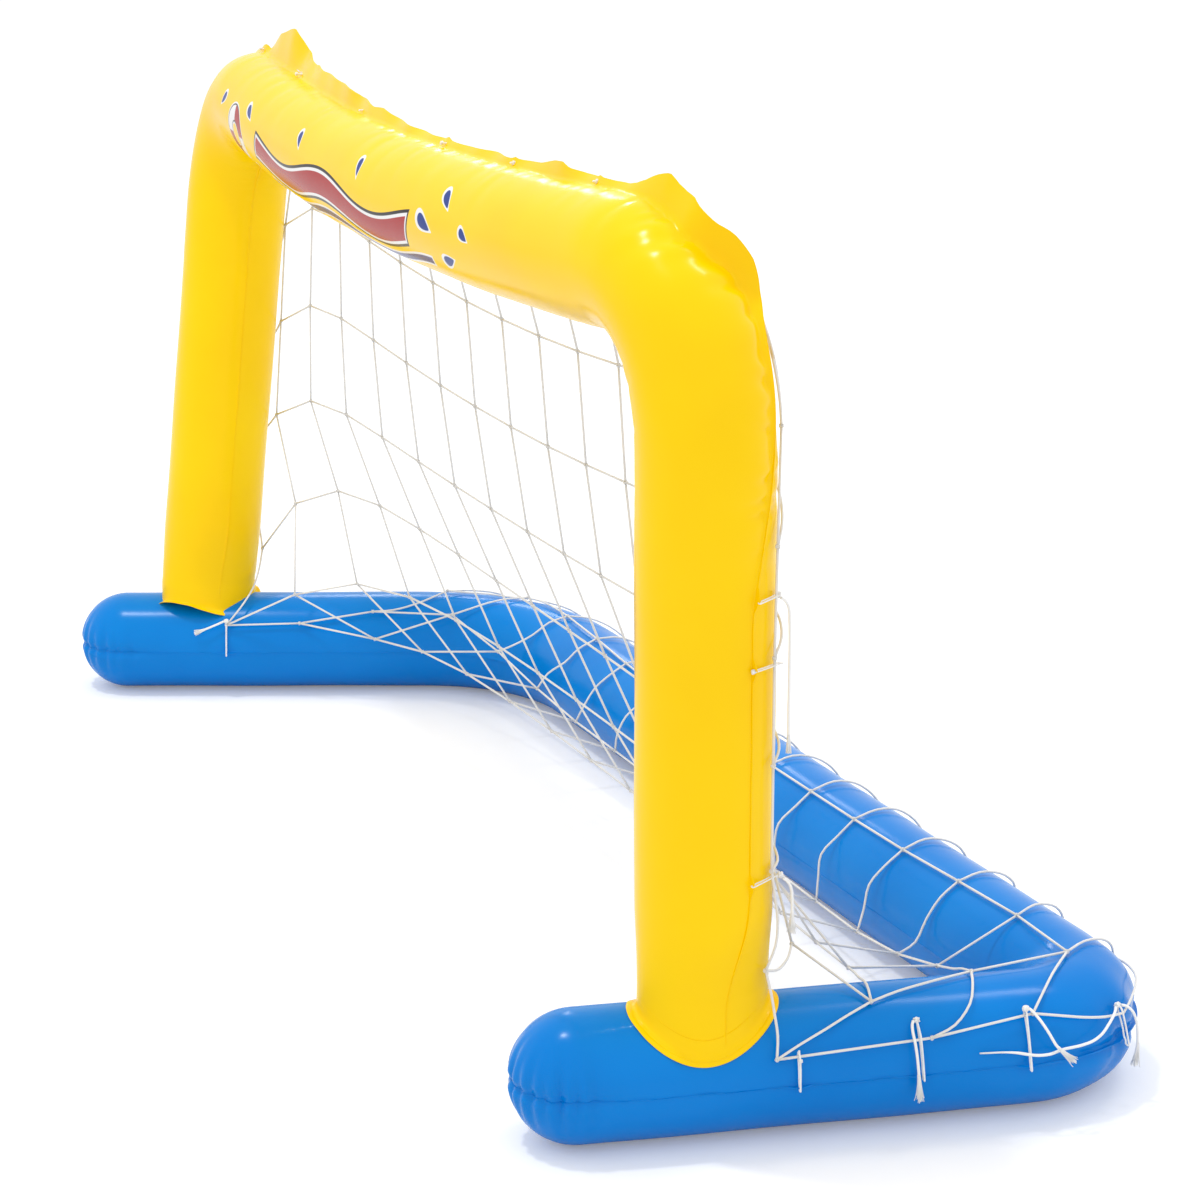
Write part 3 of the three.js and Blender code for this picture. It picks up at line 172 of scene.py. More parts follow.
def finish_cords(name, material):
    """Makes one piece from all the tubes stored under a name."""
    verts, faces, maps = cord_parts.pop(name)
    piece = new_piece(name, [tuple(v) for v in verts], faces, material)
    layer = piece.data.uv_layers.new(name="twist")
    layer.data.foreach_set("uv", np.array([uv for m in maps for uv in m], float).ravel())
    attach(piece, "goal")
    print(name, len(faces), "faces")
    return piece


print("the cord turns once in", twist_length, "m")

# %% [markdown]
# ## Cord finish
# Three strands wound round each other show as slanting ridges. A sine of the turn round the cord
# plus the distance along it draws them, as bump for the light and as painted shade in the furrows.

# %% Cord finish
class Finish:
    """A new material, with short ways to add and join its nodes."""

    def __init__(self, name):
        self.material = bpy.data.materials.new(name)
        self.material.use_nodes = True
        self.tree = self.material.node_tree
        self.shader = self.tree.nodes["Principled BSDF"]

    def fill(self, node, inputs):
        """Gives a node its inputs: sockets are joined on, numbers and colours are set."""
        for place, value in inputs.items():
            if isinstance(value, bpy.types.NodeSocket):
                self.tree.links.new(value, node.inputs[place])
            else:
                node.inputs[place].default_value = value

    def node(self, kind, inputs=None):
        node = self.tree.nodes.new("ShaderNode" + kind)
        self.fill(node, inputs or {})
        return node

    def maths(self, kind, *terms):
        """One sum of sockets or numbers."""
        node = self.node("Math", dict(enumerate(terms)))
        node.operation = kind
        return node.outputs[0]

    def map_of(self, layer):
        """The two measures of a map layer."""
        node = self.node("UVMap")
        node.uv_map = layer
        return self.node("SeparateXYZ", {0: node.outputs[0]}).outputs[:2]

    def noise(self, scale, detail=2.0, distortion=0.0):
        """Uneven patches that are fixed to the piece."""
        place = self.node("TexCoord").outputs["Object"]
        kinds = {"Vector": place, "Scale": scale, "Detail": detail, "Distortion": distortion}
        return self.node("TexNoise", kinds).outputs["Fac"]

    def ramp(self, factor, low, high):
        """A colour that runs between two (place, colour) stops."""
        node = self.node("ValToRGB", {0: factor})
        for mark, stop in zip(node.color_ramp.elements, (low, high)):
            mark.position, mark.color = stop
        return node.outputs[0]

    def bump(self, height, strength, distance):
        """Shows a height to the light only."""
        node = self.node("Bump", {"Height": height, "Strength": strength, "Distance": distance})
        self.fill(self.shader, {"Normal": node.outputs[0]})


def cord_finish(name, pale, shade):
    cord = Finish(name)
    around, along = cord.map_of("twist")
    phase = cord.maths("ADD", cord.maths("MULTIPLY", around, 3), cord.maths("MULTIPLY", along, 3))
    wave = cord.maths("SINE", cord.maths("MULTIPLY", phase, 2 * math.pi))
    fibre = cord.maths("MULTIPLY", cord.noise(2400), 0.5)
    height = cord.maths("ADD", cord.maths("ABSOLUTE", wave), fibre)
    cord.bump(height, 0.6, 0.25 * mm)
    # The low furrows between the strands get the darker colour: painted shade, with some random unevenness
    # from the fibre noise.
    cord.fill(cord.shader, {"Base Color": cord.ramp(height, (0.15, shade), (0.8, pale)),
                            "Roughness": 0.75, "Sheen Weight": 0.25})
    return cord.material


# The net's cord is a greyer copy of the white tie cord: painted shade for the grey look of the hanging
# curtain.
net_shaded_finish = cord_finish("net_cord", (0.84, 0.83, 0.81, 1), (0.62, 0.605, 0.58, 1))
tie_finish = cord_finish("tie_cord", (0.95, 0.95, 0.945, 1), (0.82, 0.82, 0.815, 1))
print("cord finishes ready")

# %% [markdown]
# ## Loose ends
# Seven ends of tie cord hang free from their knots and fray into a tassel where they were cut.
# Each follows its solid's route, given in tenths of a millimetre. A tassel is a ring of fine
# strands that part from a core, each cut at its own length.

# %% Loose ends
tail_cord = 2.4 * mm
tail_routes = {
    "right_arm_front_tail": (0.0692, (
     (7036, 282, 959), (7054, 263, 939), (7081, 249, 915), (7115, 237, 889), (7151, 229, 857),
     (7184, 224, 807), (7209, 222, 752), (7227, 222, 692), (7238, 224, 632), (7244, 227, 572),
     (7246, 231, 512), (7246, 235, 462), (7244, 239, 417), (7242, 243, 382), (7239, 245, 352))),
    "right_arm_rear_tail": (0.0602, (
     (7279, 1212, 992), (7306, 1230, 972), (7339, 1243, 948), (7379, 1255, 922), (7419, 1267, 890),
     (7448, 1281, 856), (7472, 1296, 820), (7492, 1312, 782), (7507, 1332, 744), (7520, 1362, 708),
     (7528, 1393, 676), (7534, 1422, 648), (7538, 1450, 622), (7539, 1475, 600), (7541, 1500, 582))),
    "right_corner_tail": (0.0609, (
     (7236, 2126, 838), (7245, 2164, 827), (7261, 2195, 805), (7277, 2219, 773), (7287, 2234, 733),
     (7294, 2246, 689), (7298, 2253, 643), (7299, 2259, 597), (7300, 2262, 551), (7300, 2264, 505),
     (7299, 2264, 459), (7299, 2261, 413), (7298, 2258, 369), (7297, 2255, 329), (7297, 2250, 297))),
    "right_corner_long_tail": (0.1444, (
     (7274, 2046, 847), (7327, 2006, 839), (7379, 1947, 817), (7420, 1880, 779), (7449, 1807, 731),
     (7462, 1720, 693), (7456, 1619, 671), (7447, 1535, 663), (7448, 1451, 663), (7467, 1364, 663),
     (7484, 1295, 664), (7480, 1235, 665), (7463, 1176, 667), (7424, 1121, 669), (7377, 1056, 675),
     (7341, 960, 683), (7315, 852, 689), (7292, 753, 693))),
    "right_post_upper_tail": (0.1281, (
     (6782, -850, 4542), (6792, -818, 4517), (6796, -795, 4477), (6796, -782, 4427), (6793, -776, 4356),
     (6792, -772, 4276), (6792, -770, 4185), (6795, -771, 4094), (6797, -772, 4004), (6799, -773, 3913),
     (6799, -773, 3822), (6798, -772, 3731), (6795, -771, 3641), (6792, -768, 3550), (6789, -765, 3459),
     (6787, -762, 3368), (6788, -761, 3288))),
    "right_post_lower_tail": (0.0493, (
     (6807, -796, 2270), (6817, -766, 2245), (6821, -746, 2215), (6822, -734, 2185), (6821, -725, 2150),
     (6819, -721, 2114), (6818, -719, 2079), (6818, -717, 2044), (6819, -717, 2009), (6820, -718, 1973),
     (6820, -718, 1938), (6821, -719, 1903), (6822, -719, 1868), (6822, -717, 1833), (6821, -716, 1803))),
    "left_foot_tail": (0.0361, (
     (-5936, -1259, 908), (-5943, -1280, 897), (-5949, -1304, 887), (-5954, -1328, 877),
     (-5960, -1352, 868), (-5965, -1375, 859), (-5970, -1399, 850), (-5975, -1423, 841),
     (-5981, -1447, 832), (-5987, -1470, 823), (-5993, -1493, 815), (-5999, -1517, 807),
     (-6006, -1540, 799), (-6013, -1563, 791), (-6020, -1586, 783))),
}
chance = np.random.default_rng(7)
strands = 22
strand_radius = 0.52 * mm
# the share of the tail that has frayed, how far it spreads, and its core's radius in mm
plain_tassel = (0.36, 1.2, 0.9)
tassels = {"right_corner_long_tail": (0.16, 0.12, 0.3), "right_post_upper_tail": (0.12, 0.6, 0.9),
           "left_foot_tail": (0.35, 1.2, 0.9)}
for name, (length, tenths) in tail_routes.items():
    points = [tuple(x / 10000 for x in p) for p in tenths]
    route = smooth_route(points, 4)
    taper = np.ones(len(route))
    if name == "right_corner_long_tail":
        taper = np.clip((len(route) - np.arange(len(route))) / 14, 0.3, 1)
    add_tube(name + "_cord", route, tail_cord / 2, 12, thin=taper)
    cord = finish_cords(name + "_cord", tie_finish)
    frayed, spread, core = tassels.get(name, plain_tassel)
    gone = run_along(route)
    first = int(np.searchsorted(gone, gone[-1] * (1 - frayed)))
    heading = unit(route[-1] - route[-4])
    side = unit(np.cross(heading, (0.4, 0.5, 0.77)))
    fringe = [*route[first:], route[-1] + heading * 1.5 * mm]
    for strand in range(strands):
        angle = 2 * math.pi * strand / strands + chance.uniform(-0.2, 0.2)
        reach = chance.uniform(0.9, 3.4) * mm * spread
        aside = side * math.cos(angle) + np.cross(heading, side) * math.sin(angle)
        cut = max(4, int(len(fringe) * chance.uniform(0.72, 1)))
        line = [p + aside * (core * mm + reach * (k / (len(fringe) - 1)) ** 1.4)
                for k, p in enumerate(fringe[:cut])]
        add_tube(name + "_tassel", line, strand_radius, 5, thin=np.linspace(1, 0.5, len(line)))
    tassel = finish_cords(name + "_tassel", tie_finish)
    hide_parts(name)

# %% [markdown]
# ## The tubes' paths
# Solids and film follow one line of corners and bends. The posts lean, and the crossbar sags and
# bows forward where the net's ties pull it. The origin shifts the drawing's mm into the frame.

# %% Paths
origin = np.array((-11.449, -123.501, 0.0))
tube_radius = 55.0
axis_height = tube_radius * math.cos(math.radians(10))


def rounded_path(corners, bends, steps=30):
    """Straight runs joined by arcs that touch both of their runs."""
    corners = [Vector(c) for c in corners]
    points = [corners[0]]
    for k in range(1, len(corners) - 1):
        arrive = (corners[k] - corners[k - 1]).normalized()
        leave = (corners[k + 1] - corners[k]).normalized()
        bend = bends[k - 1]
        if bend == 0:
            points.append(corners[k])
            continue
        angle = arrive.angle(leave)
        start = corners[k] - arrive * bend * math.tan(angle / 2)
        inward = (leave - arrive * leave.dot(arrive)).normalized()
        for s in range(steps + 1):
            a = angle * s / steps
            points.append(start + arrive * bend * math.sin(a) + inward * bend * (1 - math.cos(a)))
    points.append(corners[-1])
    return np.array([tuple(p) for p in points])


def spaced(points, spacing):
    """Points along a path whose spacing is given by a function of the place."""
    gone = run_along(points)

    def at(runs):
        return np.stack([np.interp(runs, gone, points[:, k]) for k in range(3)], 1)

    fine = np.arange(0, gone[-1], 0.5)
    load = np.concatenate([[0], np.cumsum(0.5 / spacing(at(fine)))])[:-1]
    count = int(load[-1]) + 1
    return at(np.append(np.interp(np.linspace(0, load[-1], count), load, fine)[:-1], gone[-1]))


def soften(points, passes=6):
    """Takes the last angles out of a path and leaves its ends."""
    points = points.copy()
    for _ in range(passes):
        points[1:-1] = (points[:-2] + 2 * points[1:-1] + points[2:]) / 4
    return points


bar_half = 646.0
bar_height = 695.0
bar_bend = 130.0
bar_sag = 25
bar_bow = 31
foot_x = 642.5
seat_x = 637.5
arm_depth = 343.5
right_top = Vector((bar_half, -5, bar_height))
left_top = Vector((-bar_half, 64, bar_height))
right_foot = Vector((foot_x, 0, axis_height))
left_foot = Vector((-foot_x, 0, axis_height))
foot_up = Vector((0, 0, 66))


def blend_at(foot, top):
    return foot.lerp(top, 80 / (top - foot).length)


def arch_spacing(p):
    near_bend = (np.abs(p[:, 0]) > 480) & (p[:, 2] > 480)
    return np.where(near_bend, 2.6, 5.0)


def base_spacing(p):
    return np.where(p[:, 1] > 200, 3.2, 5.0)


arch_corners = [right_foot + Vector((0, 0, 8)), right_foot + foot_up,
                blend_at(right_foot + foot_up, right_top), right_top, left_top,
                blend_at(left_foot + foot_up, left_top), left_foot + foot_up, left_foot + Vector((0, 0, 8))]
arch_line = spaced(rounded_path(arch_corners, [0, 0, bar_bend, bar_bend, 0, 0]), arch_spacing)
across_share = arch_line[:, 0] / bar_half
above_bend = np.clip((arch_line[:, 2] - bar_height + bar_bend) / bar_bend, 0, 1)
slack = above_bend * np.maximum(1 - across_share**2, 0)
arch_line[:, 2] -= bar_sag * slack
arch_line[:, 1] -= bar_bow * slack
arch_line = soften(arch_line)
right_slope = 78 / arm_depth
left_slope = 152 / arm_depth
base_corners = [(seat_x - right_slope * 99, -99, axis_height), (seat_x + 78, arm_depth, axis_height),
                (-seat_x + 152, arm_depth, axis_height), (-seat_x - left_slope * 88, -88, axis_height)]
base_line = soften(spaced(rounded_path(base_corners, [64.0, 203.0]), base_spacing))


def stations(points, sideways):
    """Each point's direction, the ways out to its seam and across it, and the distance run."""
    along = np.gradient(points, axis=0)
    along /= np.linalg.norm(along, axis=1)[:, None]
    side = np.array(sideways) - along * (along @ np.array(sideways))[:, None]
    side /= np.linalg.norm(side, axis=1)[:, None]
    out = np.cross(side, along)
    return {"middle": points, "along": along, "side": side, "out": out, "run": run_along(points)}


arch = stations(arch_line, (0, 1, 0))
base = stations(base_line, (0, 0, -1))
print("arch", len(arch_line), "rings,", round(arch["run"][-1]), "mm")
print("base", len(base_line), "rings,", round(base["run"][-1]), "mm")

# %% [markdown]
# ## Why film puckers
# Each tube is two flat sheets welded edge to edge. Blown up, it draws its seams in, and where a
# seam bends it has more film than it needs: the spare gathers in short grooves square to the
# weld. They are set along each seam with uneven gaps, depths and lengths, deepest at the bends.

# %% Pucker fields
def smooth_step(x, low, high):
    t = np.clip((x - low) / (high - low), 0, 1)
    return t * t * (3 - 2 * t)


def hump(x, at, half):
    """A smooth hump: 1 at its place, a third at the half width, nothing at twice that."""
    return np.exp(-((x - at) / half) ** 2)


def grooves(seed, length, gap, spare=0.0, size=1.0):
    """Groove places along a seam, each with its depth, width, reach and slant."""
    pick = np.random.default_rng(seed)
    place = -spare
    rows = []
    while place < length + spare:
        place += gap * pick.uniform(0.55, 1.5)
        depth = pick.uniform(0.25, 1)
        slant = pick.uniform(-0.22, 0.22)
        rows.append((place, depth, size * pick.uniform(2.2, 4.6), size * pick.uniform(9, 34), slant))
    return rows


def sink(rows, run, from_seam, strength):
    """How far the film is drawn in, in mm, at distances along and away from a seam."""
    total = np.zeros(np.broadcast(run, from_seam).shape)
    for place, depth, width, reach, slant in rows:
        near = np.abs(run[:, 0] - place) < 6 * width + 8
        if not near.any():
            continue
        d = np.broadcast_to(from_seam, total.shape)[near]
        off = (run[near] - place - slant * d) / (width * (1 + d / 50))
        total[near] += depth * np.exp(-off**2) * np.exp(-(d / reach) ** 2) * np.clip(0.35 + d / 9, 0, 1)
    return total * strength


def sunk(puckers, run, from_outer, from_inner):
    """The draw-in of all of a sheet's puckers: their rows, their seam and their strength."""
    seams = {"outer": from_outer, "inner": from_inner}
    return sum(sink(rows, run, seams[seam], strength[:, None]) for rows, seam, strength in puckers)


def ripple(run, scales, seed):
    """A gentle uneven wave along a seam, from -1 to 1."""
    pick = np.random.default_rng(seed)
    return sum(np.sin(run / s * 2 * math.pi + pick.uniform(0, 6)) for s in scales) / len(scales)


print("a metre of seam has about", len(grooves(1, 1000, 13)), "grooves")

# %% [markdown]
# ## Skinning half a tube
# A sheet is a grid: rings along the path, and columns from one weld edge round the half tube to
# the other. The weld edges are flat fins. The grid is made in one go with arrays, because the
# folds are wanted at their exact places.

# %% Half tubes
film = 0.5
weld_gap = 0.06
face = weld_gap / 2 + film
half_angles = np.radians([2.3, 4.6, 7.6, 11, *np.linspace(15, 165, 39), 169, 172.4, 175.4, 177.7])
fin_shares = np.array([1, 0.75, 0.5, 0.25, 0.08])
column_angles = np.concatenate([np.zeros(5), half_angles, np.full(5, math.pi)])
on_arc = np.concatenate([np.zeros(5), np.ones(len(half_angles)), np.zeros(5)])
on_outer_fin = np.concatenate([fin_shares, np.zeros(len(half_angles) + 5)])
on_inner_fin = on_outer_fin[::-1]
crimp_reach = 8
sway_reach = 9


def sheet_grid(rings, sign, fin_out, fin_in, width, draw_in, sway, crimp, shrink=1.0, push=0.0, dents=0.0):
    """The sheet's points, in the order rings by columns, in mm before the origin shift."""
    fin_out = fin_out[:, None] * on_outer_fin
    fin_in = fin_in[:, None] * on_inner_fin
    from_outer = tube_radius * column_angles
    from_inner = tube_radius * (math.pi - column_angles)
    cos = np.cos(column_angles)
    sin = np.sin(column_angles)
    lowest = face * np.maximum(shrink, 0.25)
    depth = draw_in(rings["run"][:, None], from_outer, from_inner) * on_arc
    depth = depth + crimp[:, None] * hump(np.minimum(from_outer, from_inner), 0, crimp_reach) + dents
    x = tube_radius * shrink * cos + (fin_out - fin_in) * shrink - depth * cos * shrink
    y = np.maximum(tube_radius * shrink * sin, lowest)
    y = y - np.minimum(depth * sin * shrink, y - lowest * 0.8)
    shift = sway(rings["run"])[:, None] * (0.35 * hump(from_outer, 0, sway_reach) + on_outer_fin)
    forward = push * (tube_radius - depth + fin_out + fin_in)
    points = rings["middle"][:, None]
    for way, far in (("out", x * width), ("side", sign * y + shift), ("along", forward)):
        points = points + rings[way][:, None] * far[..., None]
    return points


print("half a tube has", len(column_angles), "columns")

# %% [markdown]
# ## A piece of film
# The grid becomes a mesh whose faces look outwards, and half a millimetre of wall is added on the
# inside. Under a valve's flange the film has a round hole, so that the stem can slide in.

# %% Film pieces
stem_hole = 6.4 * mm
hole_depth = 20 * mm


def open_hole(points, quads, flange):
    """Leaves out the film under a valve, and draws the hole's edge in to a circle round the stem."""
    corners = np.unique(np.array([v.co for v in nodes[flange].data.vertices], float).round(6), axis=0)
    middle = corners.mean(0)
    way_out = np.linalg.svd(corners - middle)[2][2]
    level = (points - middle) @ way_out
    flat = points - middle - level[:, None] * way_out
    reach = np.linalg.norm(flat, axis=1)
    under = (reach < stem_hole) & (np.abs(level) < hole_depth)
    gone = under[quads].any(1)
    edge = np.setdiff1d(np.unique(quads[gone]), np.nonzero(under)[0])
    points[edge] -= flat[edge] * (1 - stem_hole / reach[edge])[:, None]
    return quads[~gone]


def sheet_piece(name, grid, outward, material, sheet_map=None, flange=None):
    """Makes a film piece from a grid of points."""
    rows, columns = grid.shape[:2]
    points = ((grid + origin) * mm).reshape(-1, 3)
    index = np.arange(rows * columns).reshape(rows, columns)
    quads = np.stack([index[:-1, :-1], index[:-1, 1:], index[1:, 1:], index[1:, :-1]], -1).reshape(-1, 4)
    a, b, c = (points[quads[:, k]] for k in (0, 1, 3))
    normals = np.cross(b - a, c - a)
    if (normals * outward.reshape(rows, columns, 3)[:-1, :-1].reshape(-1, 3)).sum() < 0:
        quads = quads[:, ::-1]
    if flange:
        quads = open_hole(points, quads, flange)
    piece = new_piece(name, points.tolist(), quads.tolist(), material)
    if sheet_map is not None:
        layer = piece.data.uv_layers.new(name="sheet")
        layer.data.foreach_set("uv", sheet_map.reshape(-1, 2)[quads.ravel()].ravel())
    bpy.ops.object.select_all(action="DESELECT")
    piece.select_set(True)
    bpy.context.view_layer.objects.active = piece
    bpy.ops.object.mode_set(mode="EDIT")
    bpy.ops.mesh.select_all(action="SELECT")
    bpy.ops.mesh.delete_loose()
    bpy.ops.mesh.select_all(action="SELECT")
    bpy.ops.mesh.remove_doubles(threshold=0.02 * mm)
    bpy.ops.object.mode_set(mode="OBJECT")
    wall = piece.modifiers.new("film", "SOLIDIFY")
    wall.thickness = film * mm
    wall.offset = -1
    bpy.ops.object.modifier_apply(modifier="film")
    bpy.ops.object.shade_smooth_by_angle(angle=math.radians(50))
    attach(piece, "goal")
    print(name, len(piece.data.polygons), "faces")
    return piece


print("film", film, "mm thick")

# %% [markdown]
# ## Film finish
# The film is soft PVC, dyed through and glossy. The dye is a touch deeper in patches, and the gloss
# is broken by a fine orange peel and by a faint crumple a few centimetres across.

# %% Film finish
def film_finish(name, colour, deep):
    sheet = Finish(name)
    cloud = sheet.noise(7, 3)
    peel = sheet.maths("MULTIPLY", sheet.noise(420), 0.05)
    crumple = sheet.noise(26, 2, 0.6)
    sheet.bump(sheet.maths("ADD", peel, crumple), 0.35, 0.6 * mm)
    gloss = sheet.maths("ADD", sheet.maths("MULTIPLY", cloud, 0.08), 0.17)
    sheet.fill(sheet.shader, {"Base Color": sheet.ramp(cloud, (0.3, deep), (0.72, colour)),
                              "Roughness": gloss, "Specular IOR Level": 0.15})
    return sheet


yellow_dyes = ((1.0, 0.66, 0.0, 1), (0.98, 0.61, 0.0, 1))
yellow = film_finish("yellow_film", *yellow_dyes).material
blue = film_finish("blue_film", (0.0, 0.225, 0.7, 1), (0.0, 0.195, 0.64, 1)).material
print("film finishes ready")

# %% [markdown]
# ## The print on the crossbar
# A generic pool design: a red ribbon of water with a thin blue one under it, a life ring and a few
# drops. It is drawn in the film's own material from a map of the sheet in millimetres, so it bends
# and wrinkles with the film.

# %% Crossbar print
red_ink = (0.4, 0.0, 0.002, 1)
blue_ink = (0.0, 0.03, 0.24, 1)
white_ink = (0.85, 0.85, 0.85, 1)
dark_ink = (0.002, 0.002, 0.004, 1)
ink_edge = 0.008
wave_pitch = 47.0
drops = (
    (-365, 66, 15, 9, 0.5), (-486, 72, 13, 8, 2.4), (-374, 128, 11, 7, -0.4), (222, 84, 20, 11, 0.3),
    (262, 58, 15, 9, 0.7), (268, 112, 17, 9, -0.2), (312, 84, 12, 8, 0.4), (30, 58, 13, 8, 1.2),
    (-165, 60, 13, 8, 0.9))


def print_on(sheet):
    """Lays the inks over a film's colour."""
    calc = sheet.maths
    along, down = sheet.map_of("sheet")

    def lay(distance, stops):
        """Inks by distance, each up to its own edge, and bare film beyond the last."""
        reach = stops[-1][0] * 1.25
        node = sheet.node("ValToRGB", {0: calc("DIVIDE", distance, reach)})
        bare = (*stops[-1][1][:3], 0)
        inks = [*[ink for _, ink in stops], bare]
        marks = node.color_ramp.elements
        marks[0].position, marks[0].color = 0, inks[0]
        marks[1].position, marks[1].color = 1, bare
        for k, (edge, ink) in enumerate(stops):
            marks.new(edge / reach - ink_edge).color = ink
            marks.new(edge / reach + ink_edge).color = inks[k + 1]
        mix = sheet.node("Mix")
        mix.data_type = "RGBA"
        under = sheet.shader.inputs["Base Color"].links[0].from_socket
        sheet.fill(mix, {0: node.outputs[1], 6: under, 7: node.outputs[0]})
        sheet.fill(sheet.shader, {"Base Color": mix.outputs[2]})

    def ribbon(middle, height, start, end, half, stops):
        swing = calc("MULTIPLY", calc("SINE", calc("DIVIDE", along, wave_pitch)), height)
        off = calc("ABSOLUTE", calc("SUBTRACT", calc("SUBTRACT", down, swing), middle))
        slanted = calc("ADD", along, calc("MULTIPLY", down, 0.5))
        from_middle = calc("ABSOLUTE", calc("SUBTRACT", slanted, (start + end + middle) / 2))
        ends = calc("SUBTRACT", from_middle, (end - start) / 2)
        lay(calc("MAXIMUM", off, calc("ADD", ends, half)), stops)

    def drop(at_along, at_down, length, width, turn):
        """An egg with its narrow end ahead: blue with a white edge."""
        du = calc("SUBTRACT", along, at_along)
        dv = calc("SUBTRACT", down, at_down)
        c = math.cos(turn)
        s = math.sin(turn)
        ahead = calc("DIVIDE", calc("ADD", calc("MULTIPLY", du, c), calc("MULTIPLY", dv, s)), length)
        aside = calc("DIVIDE", calc("SUBTRACT", calc("MULTIPLY", dv, c), calc("MULTIPLY", du, s)), width)
        slim = calc("MAXIMUM", calc("SUBTRACT", 0.7, calc("MULTIPLY", ahead, 0.5)), 0.15)
        wide = calc("POWER", calc("DIVIDE", aside, slim), 2)
        far = calc("SQRT", calc("ADD", calc("POWER", ahead, 2), wide))
        lay(far, [(0.72, blue_ink), (1.0, white_ink)])

    def ring(at_along, at_down, middle, half):
        """A life ring in red and white quarters with a dark line round it."""
        du = calc("SUBTRACT", along, at_along)
        dv = calc("SUBTRACT", down, at_down)
        far = calc("SQRT", calc("ADD", calc("MULTIPLY", du, du), calc("MULTIPLY", dv, dv)))
        off = calc("ABSOLUTE", calc("SUBTRACT", far, middle))
        lay(off, [(half, white_ink), (half + 1.6, dark_ink), (half + 3.4, white_ink)])
        quarter = calc("GREATER_THAN", calc("MULTIPLY", du, dv), 0)
        lay(calc("ADD", off, calc("MULTIPLY", quarter, 99)), [(half, red_ink)])

    ribbon(100, 9, -330, 170, 11, [(11, red_ink), (14, white_ink), (17, dark_ink)])
    ribbon(129, 9, -300, 215, 4, [(4, blue_ink), (6.5, white_ink)])
    ring(-425, 100, 23, 8)
    for row in drops:
        drop(*row)


printed = film_finish("printed_yellow_film", *yellow_dyes)
print_on(printed)
print("print laid on with", len(printed.tree.nodes), "nodes")

# %% [markdown]
# ## The arch's fin and puckers
# The weld fin is widest over the crossbar, where the ties pull it up into peaks, and shrinks down
# the posts. The table gives its height in mm at places along the bar. On the near bend and post
# the spare film has pulled the seam round towards the rear, so the film is turned there.

# %% Arch shape
def add_ears(fin, rings, names, height, half):
    """Widens a fin to a rounded ear wherever a tie goes through it."""
    for name in names:
        place = np.mean([tuple(v.co) for v in nodes[name].data.vertices], axis=0) / mm - origin
        at = rings["run"][np.argmin(np.linalg.norm(rings["middle"] - place, axis=1))]
        fin = np.maximum(fin, height * hump(rings["run"], at, half))
    return fin


def tie_nodes(*starts):
    return [n for n in nodes if n.startswith(starts)]


arch_run = arch["run"]
arch_x = arch_line[:, 0]
arch_height = arch_line[:, 2]
rise = smooth_step(arch_height - axis_height - 66, 0, 80)
top_share = smooth_step(arch_height, bar_height - bar_bend, bar_height - 25)
bend_share = hump(np.abs(arch_x), 615, 60) * hump(arch_height, 605, 105)
bar_share = smooth_step(arch_height, 600, 660)
arch_width = (0.76 + 0.24 * rise)[:, None]
ridge = (
    (-600, 4), (-580, 5), (-560, 4), (-540, 2), (-521, 2.5), (-500, 17), (-480, 27), (-460, 32), (-446, 35),
    (-425, 38), (-405, 31), (-390, 24), (-376, 22), (-350, 18), (-330, 17), (-311, 19), (-280, 18),
    (-252, 18.3), (-220, 18.6), (-192, 18), (-165, 16), (-137, 12), (-110, 12.3), (-87, 10), (-60, 11.7),
    (-37, 9.2), (-15, 7.4), (8, 6.8), (48, 5.4), (93, 5.2), (133, 5), (173, 5), (208, 6.2), (243, 6.4),
    (278, 6), (308, 5.8), (343, 7.4), (373, 12.5), (390, 13.5), (403, 8.7), (418, 7), (432, 6), (462, 6.6),
    (487, 5), (512, 5), (522, 7), (532, 11.5), (542, 18.7), (552, 25), (560, 22), (567, 22), (574, 24),
    (581, 20.5), (587, 18), (593, 20), (602, 17), (612, 9), (621, 6), (630, 4.5), (640, 4))
arch_fin = np.interp(arch_x, *zip(*ridge)) * top_share + (0.8 + 0.5 * rise) * (1 - top_share)
arch_fin *= 1 + 0.06 * ripple(arch_run, (97, 61, 143), 3) * top_share
arch_fin = add_ears(arch_fin, arch, tie_nodes("crossbar_tie"), 7.5, 12)
arch_fin = add_ears(arch_fin, arch, tie_nodes("right_post_tie", "left_post_tie"), 5.6, 8)
arch_inner_fin = 0.25 + 0.15 * rise + 1.9 * top_share
arch_puckers = (
    (grooves(11, arch_run[-1], 13), "outer", (0.3 + 5.0 * bend_share + 0.7 * bar_share) * rise),
    (grooves(14, arch_run[-1], 27, size=2.1), "outer", (0.2 + 3.4 * bend_share + 0.6 * bar_share) * rise),
    (grooves(12, arch_run[-1], 13), "inner", (0.2 + 1.1 * bend_share + 0.35 * bar_share) * rise))
arch_crimp = 1.5 * bend_share * rise
twist = np.radians(14 * smooth_step(arch_height, 110, 220) + 30 * smooth_step(arch_height, 430, 590))
twist *= smooth_step(arch_x, 576, 618)
cos_twist = np.cos(twist)[:, None]
sin_twist = np.sin(twist)[:, None]
film_arch = dict(arch)
film_arch["out"] = arch["out"] * cos_twist + arch["side"] * sin_twist
film_arch["side"] = arch["side"] * cos_twist - arch["out"] * sin_twist
print("arch fin up to", round(arch_fin.max()), "mm high")

# %% [markdown]
# ## The arch
# The puckers are sunk into each sheet, the fin sways a little from side to side, and the feet are
# cut to the round back of the base tube.

# %% Arch film
def arch_draw_in(run, from_outer, from_inner):
    body = 0.5 * np.sin(run / 83 + from_outer / 31) * np.sin(run / 47 + 1.3) * rise[:, None]
    return sunk(arch_puckers, run, from_outer, from_inner) + body + 0.3


def arch_sway(run):
    lean = 4 + 8 * hump(arch_x, -385, 80) + 4 * hump(arch_x, 575, 35)
    return (1.6 * ripple(run, (118, 63, 91), 5) * (0.2 + top_share) + lean * top_share) * rise


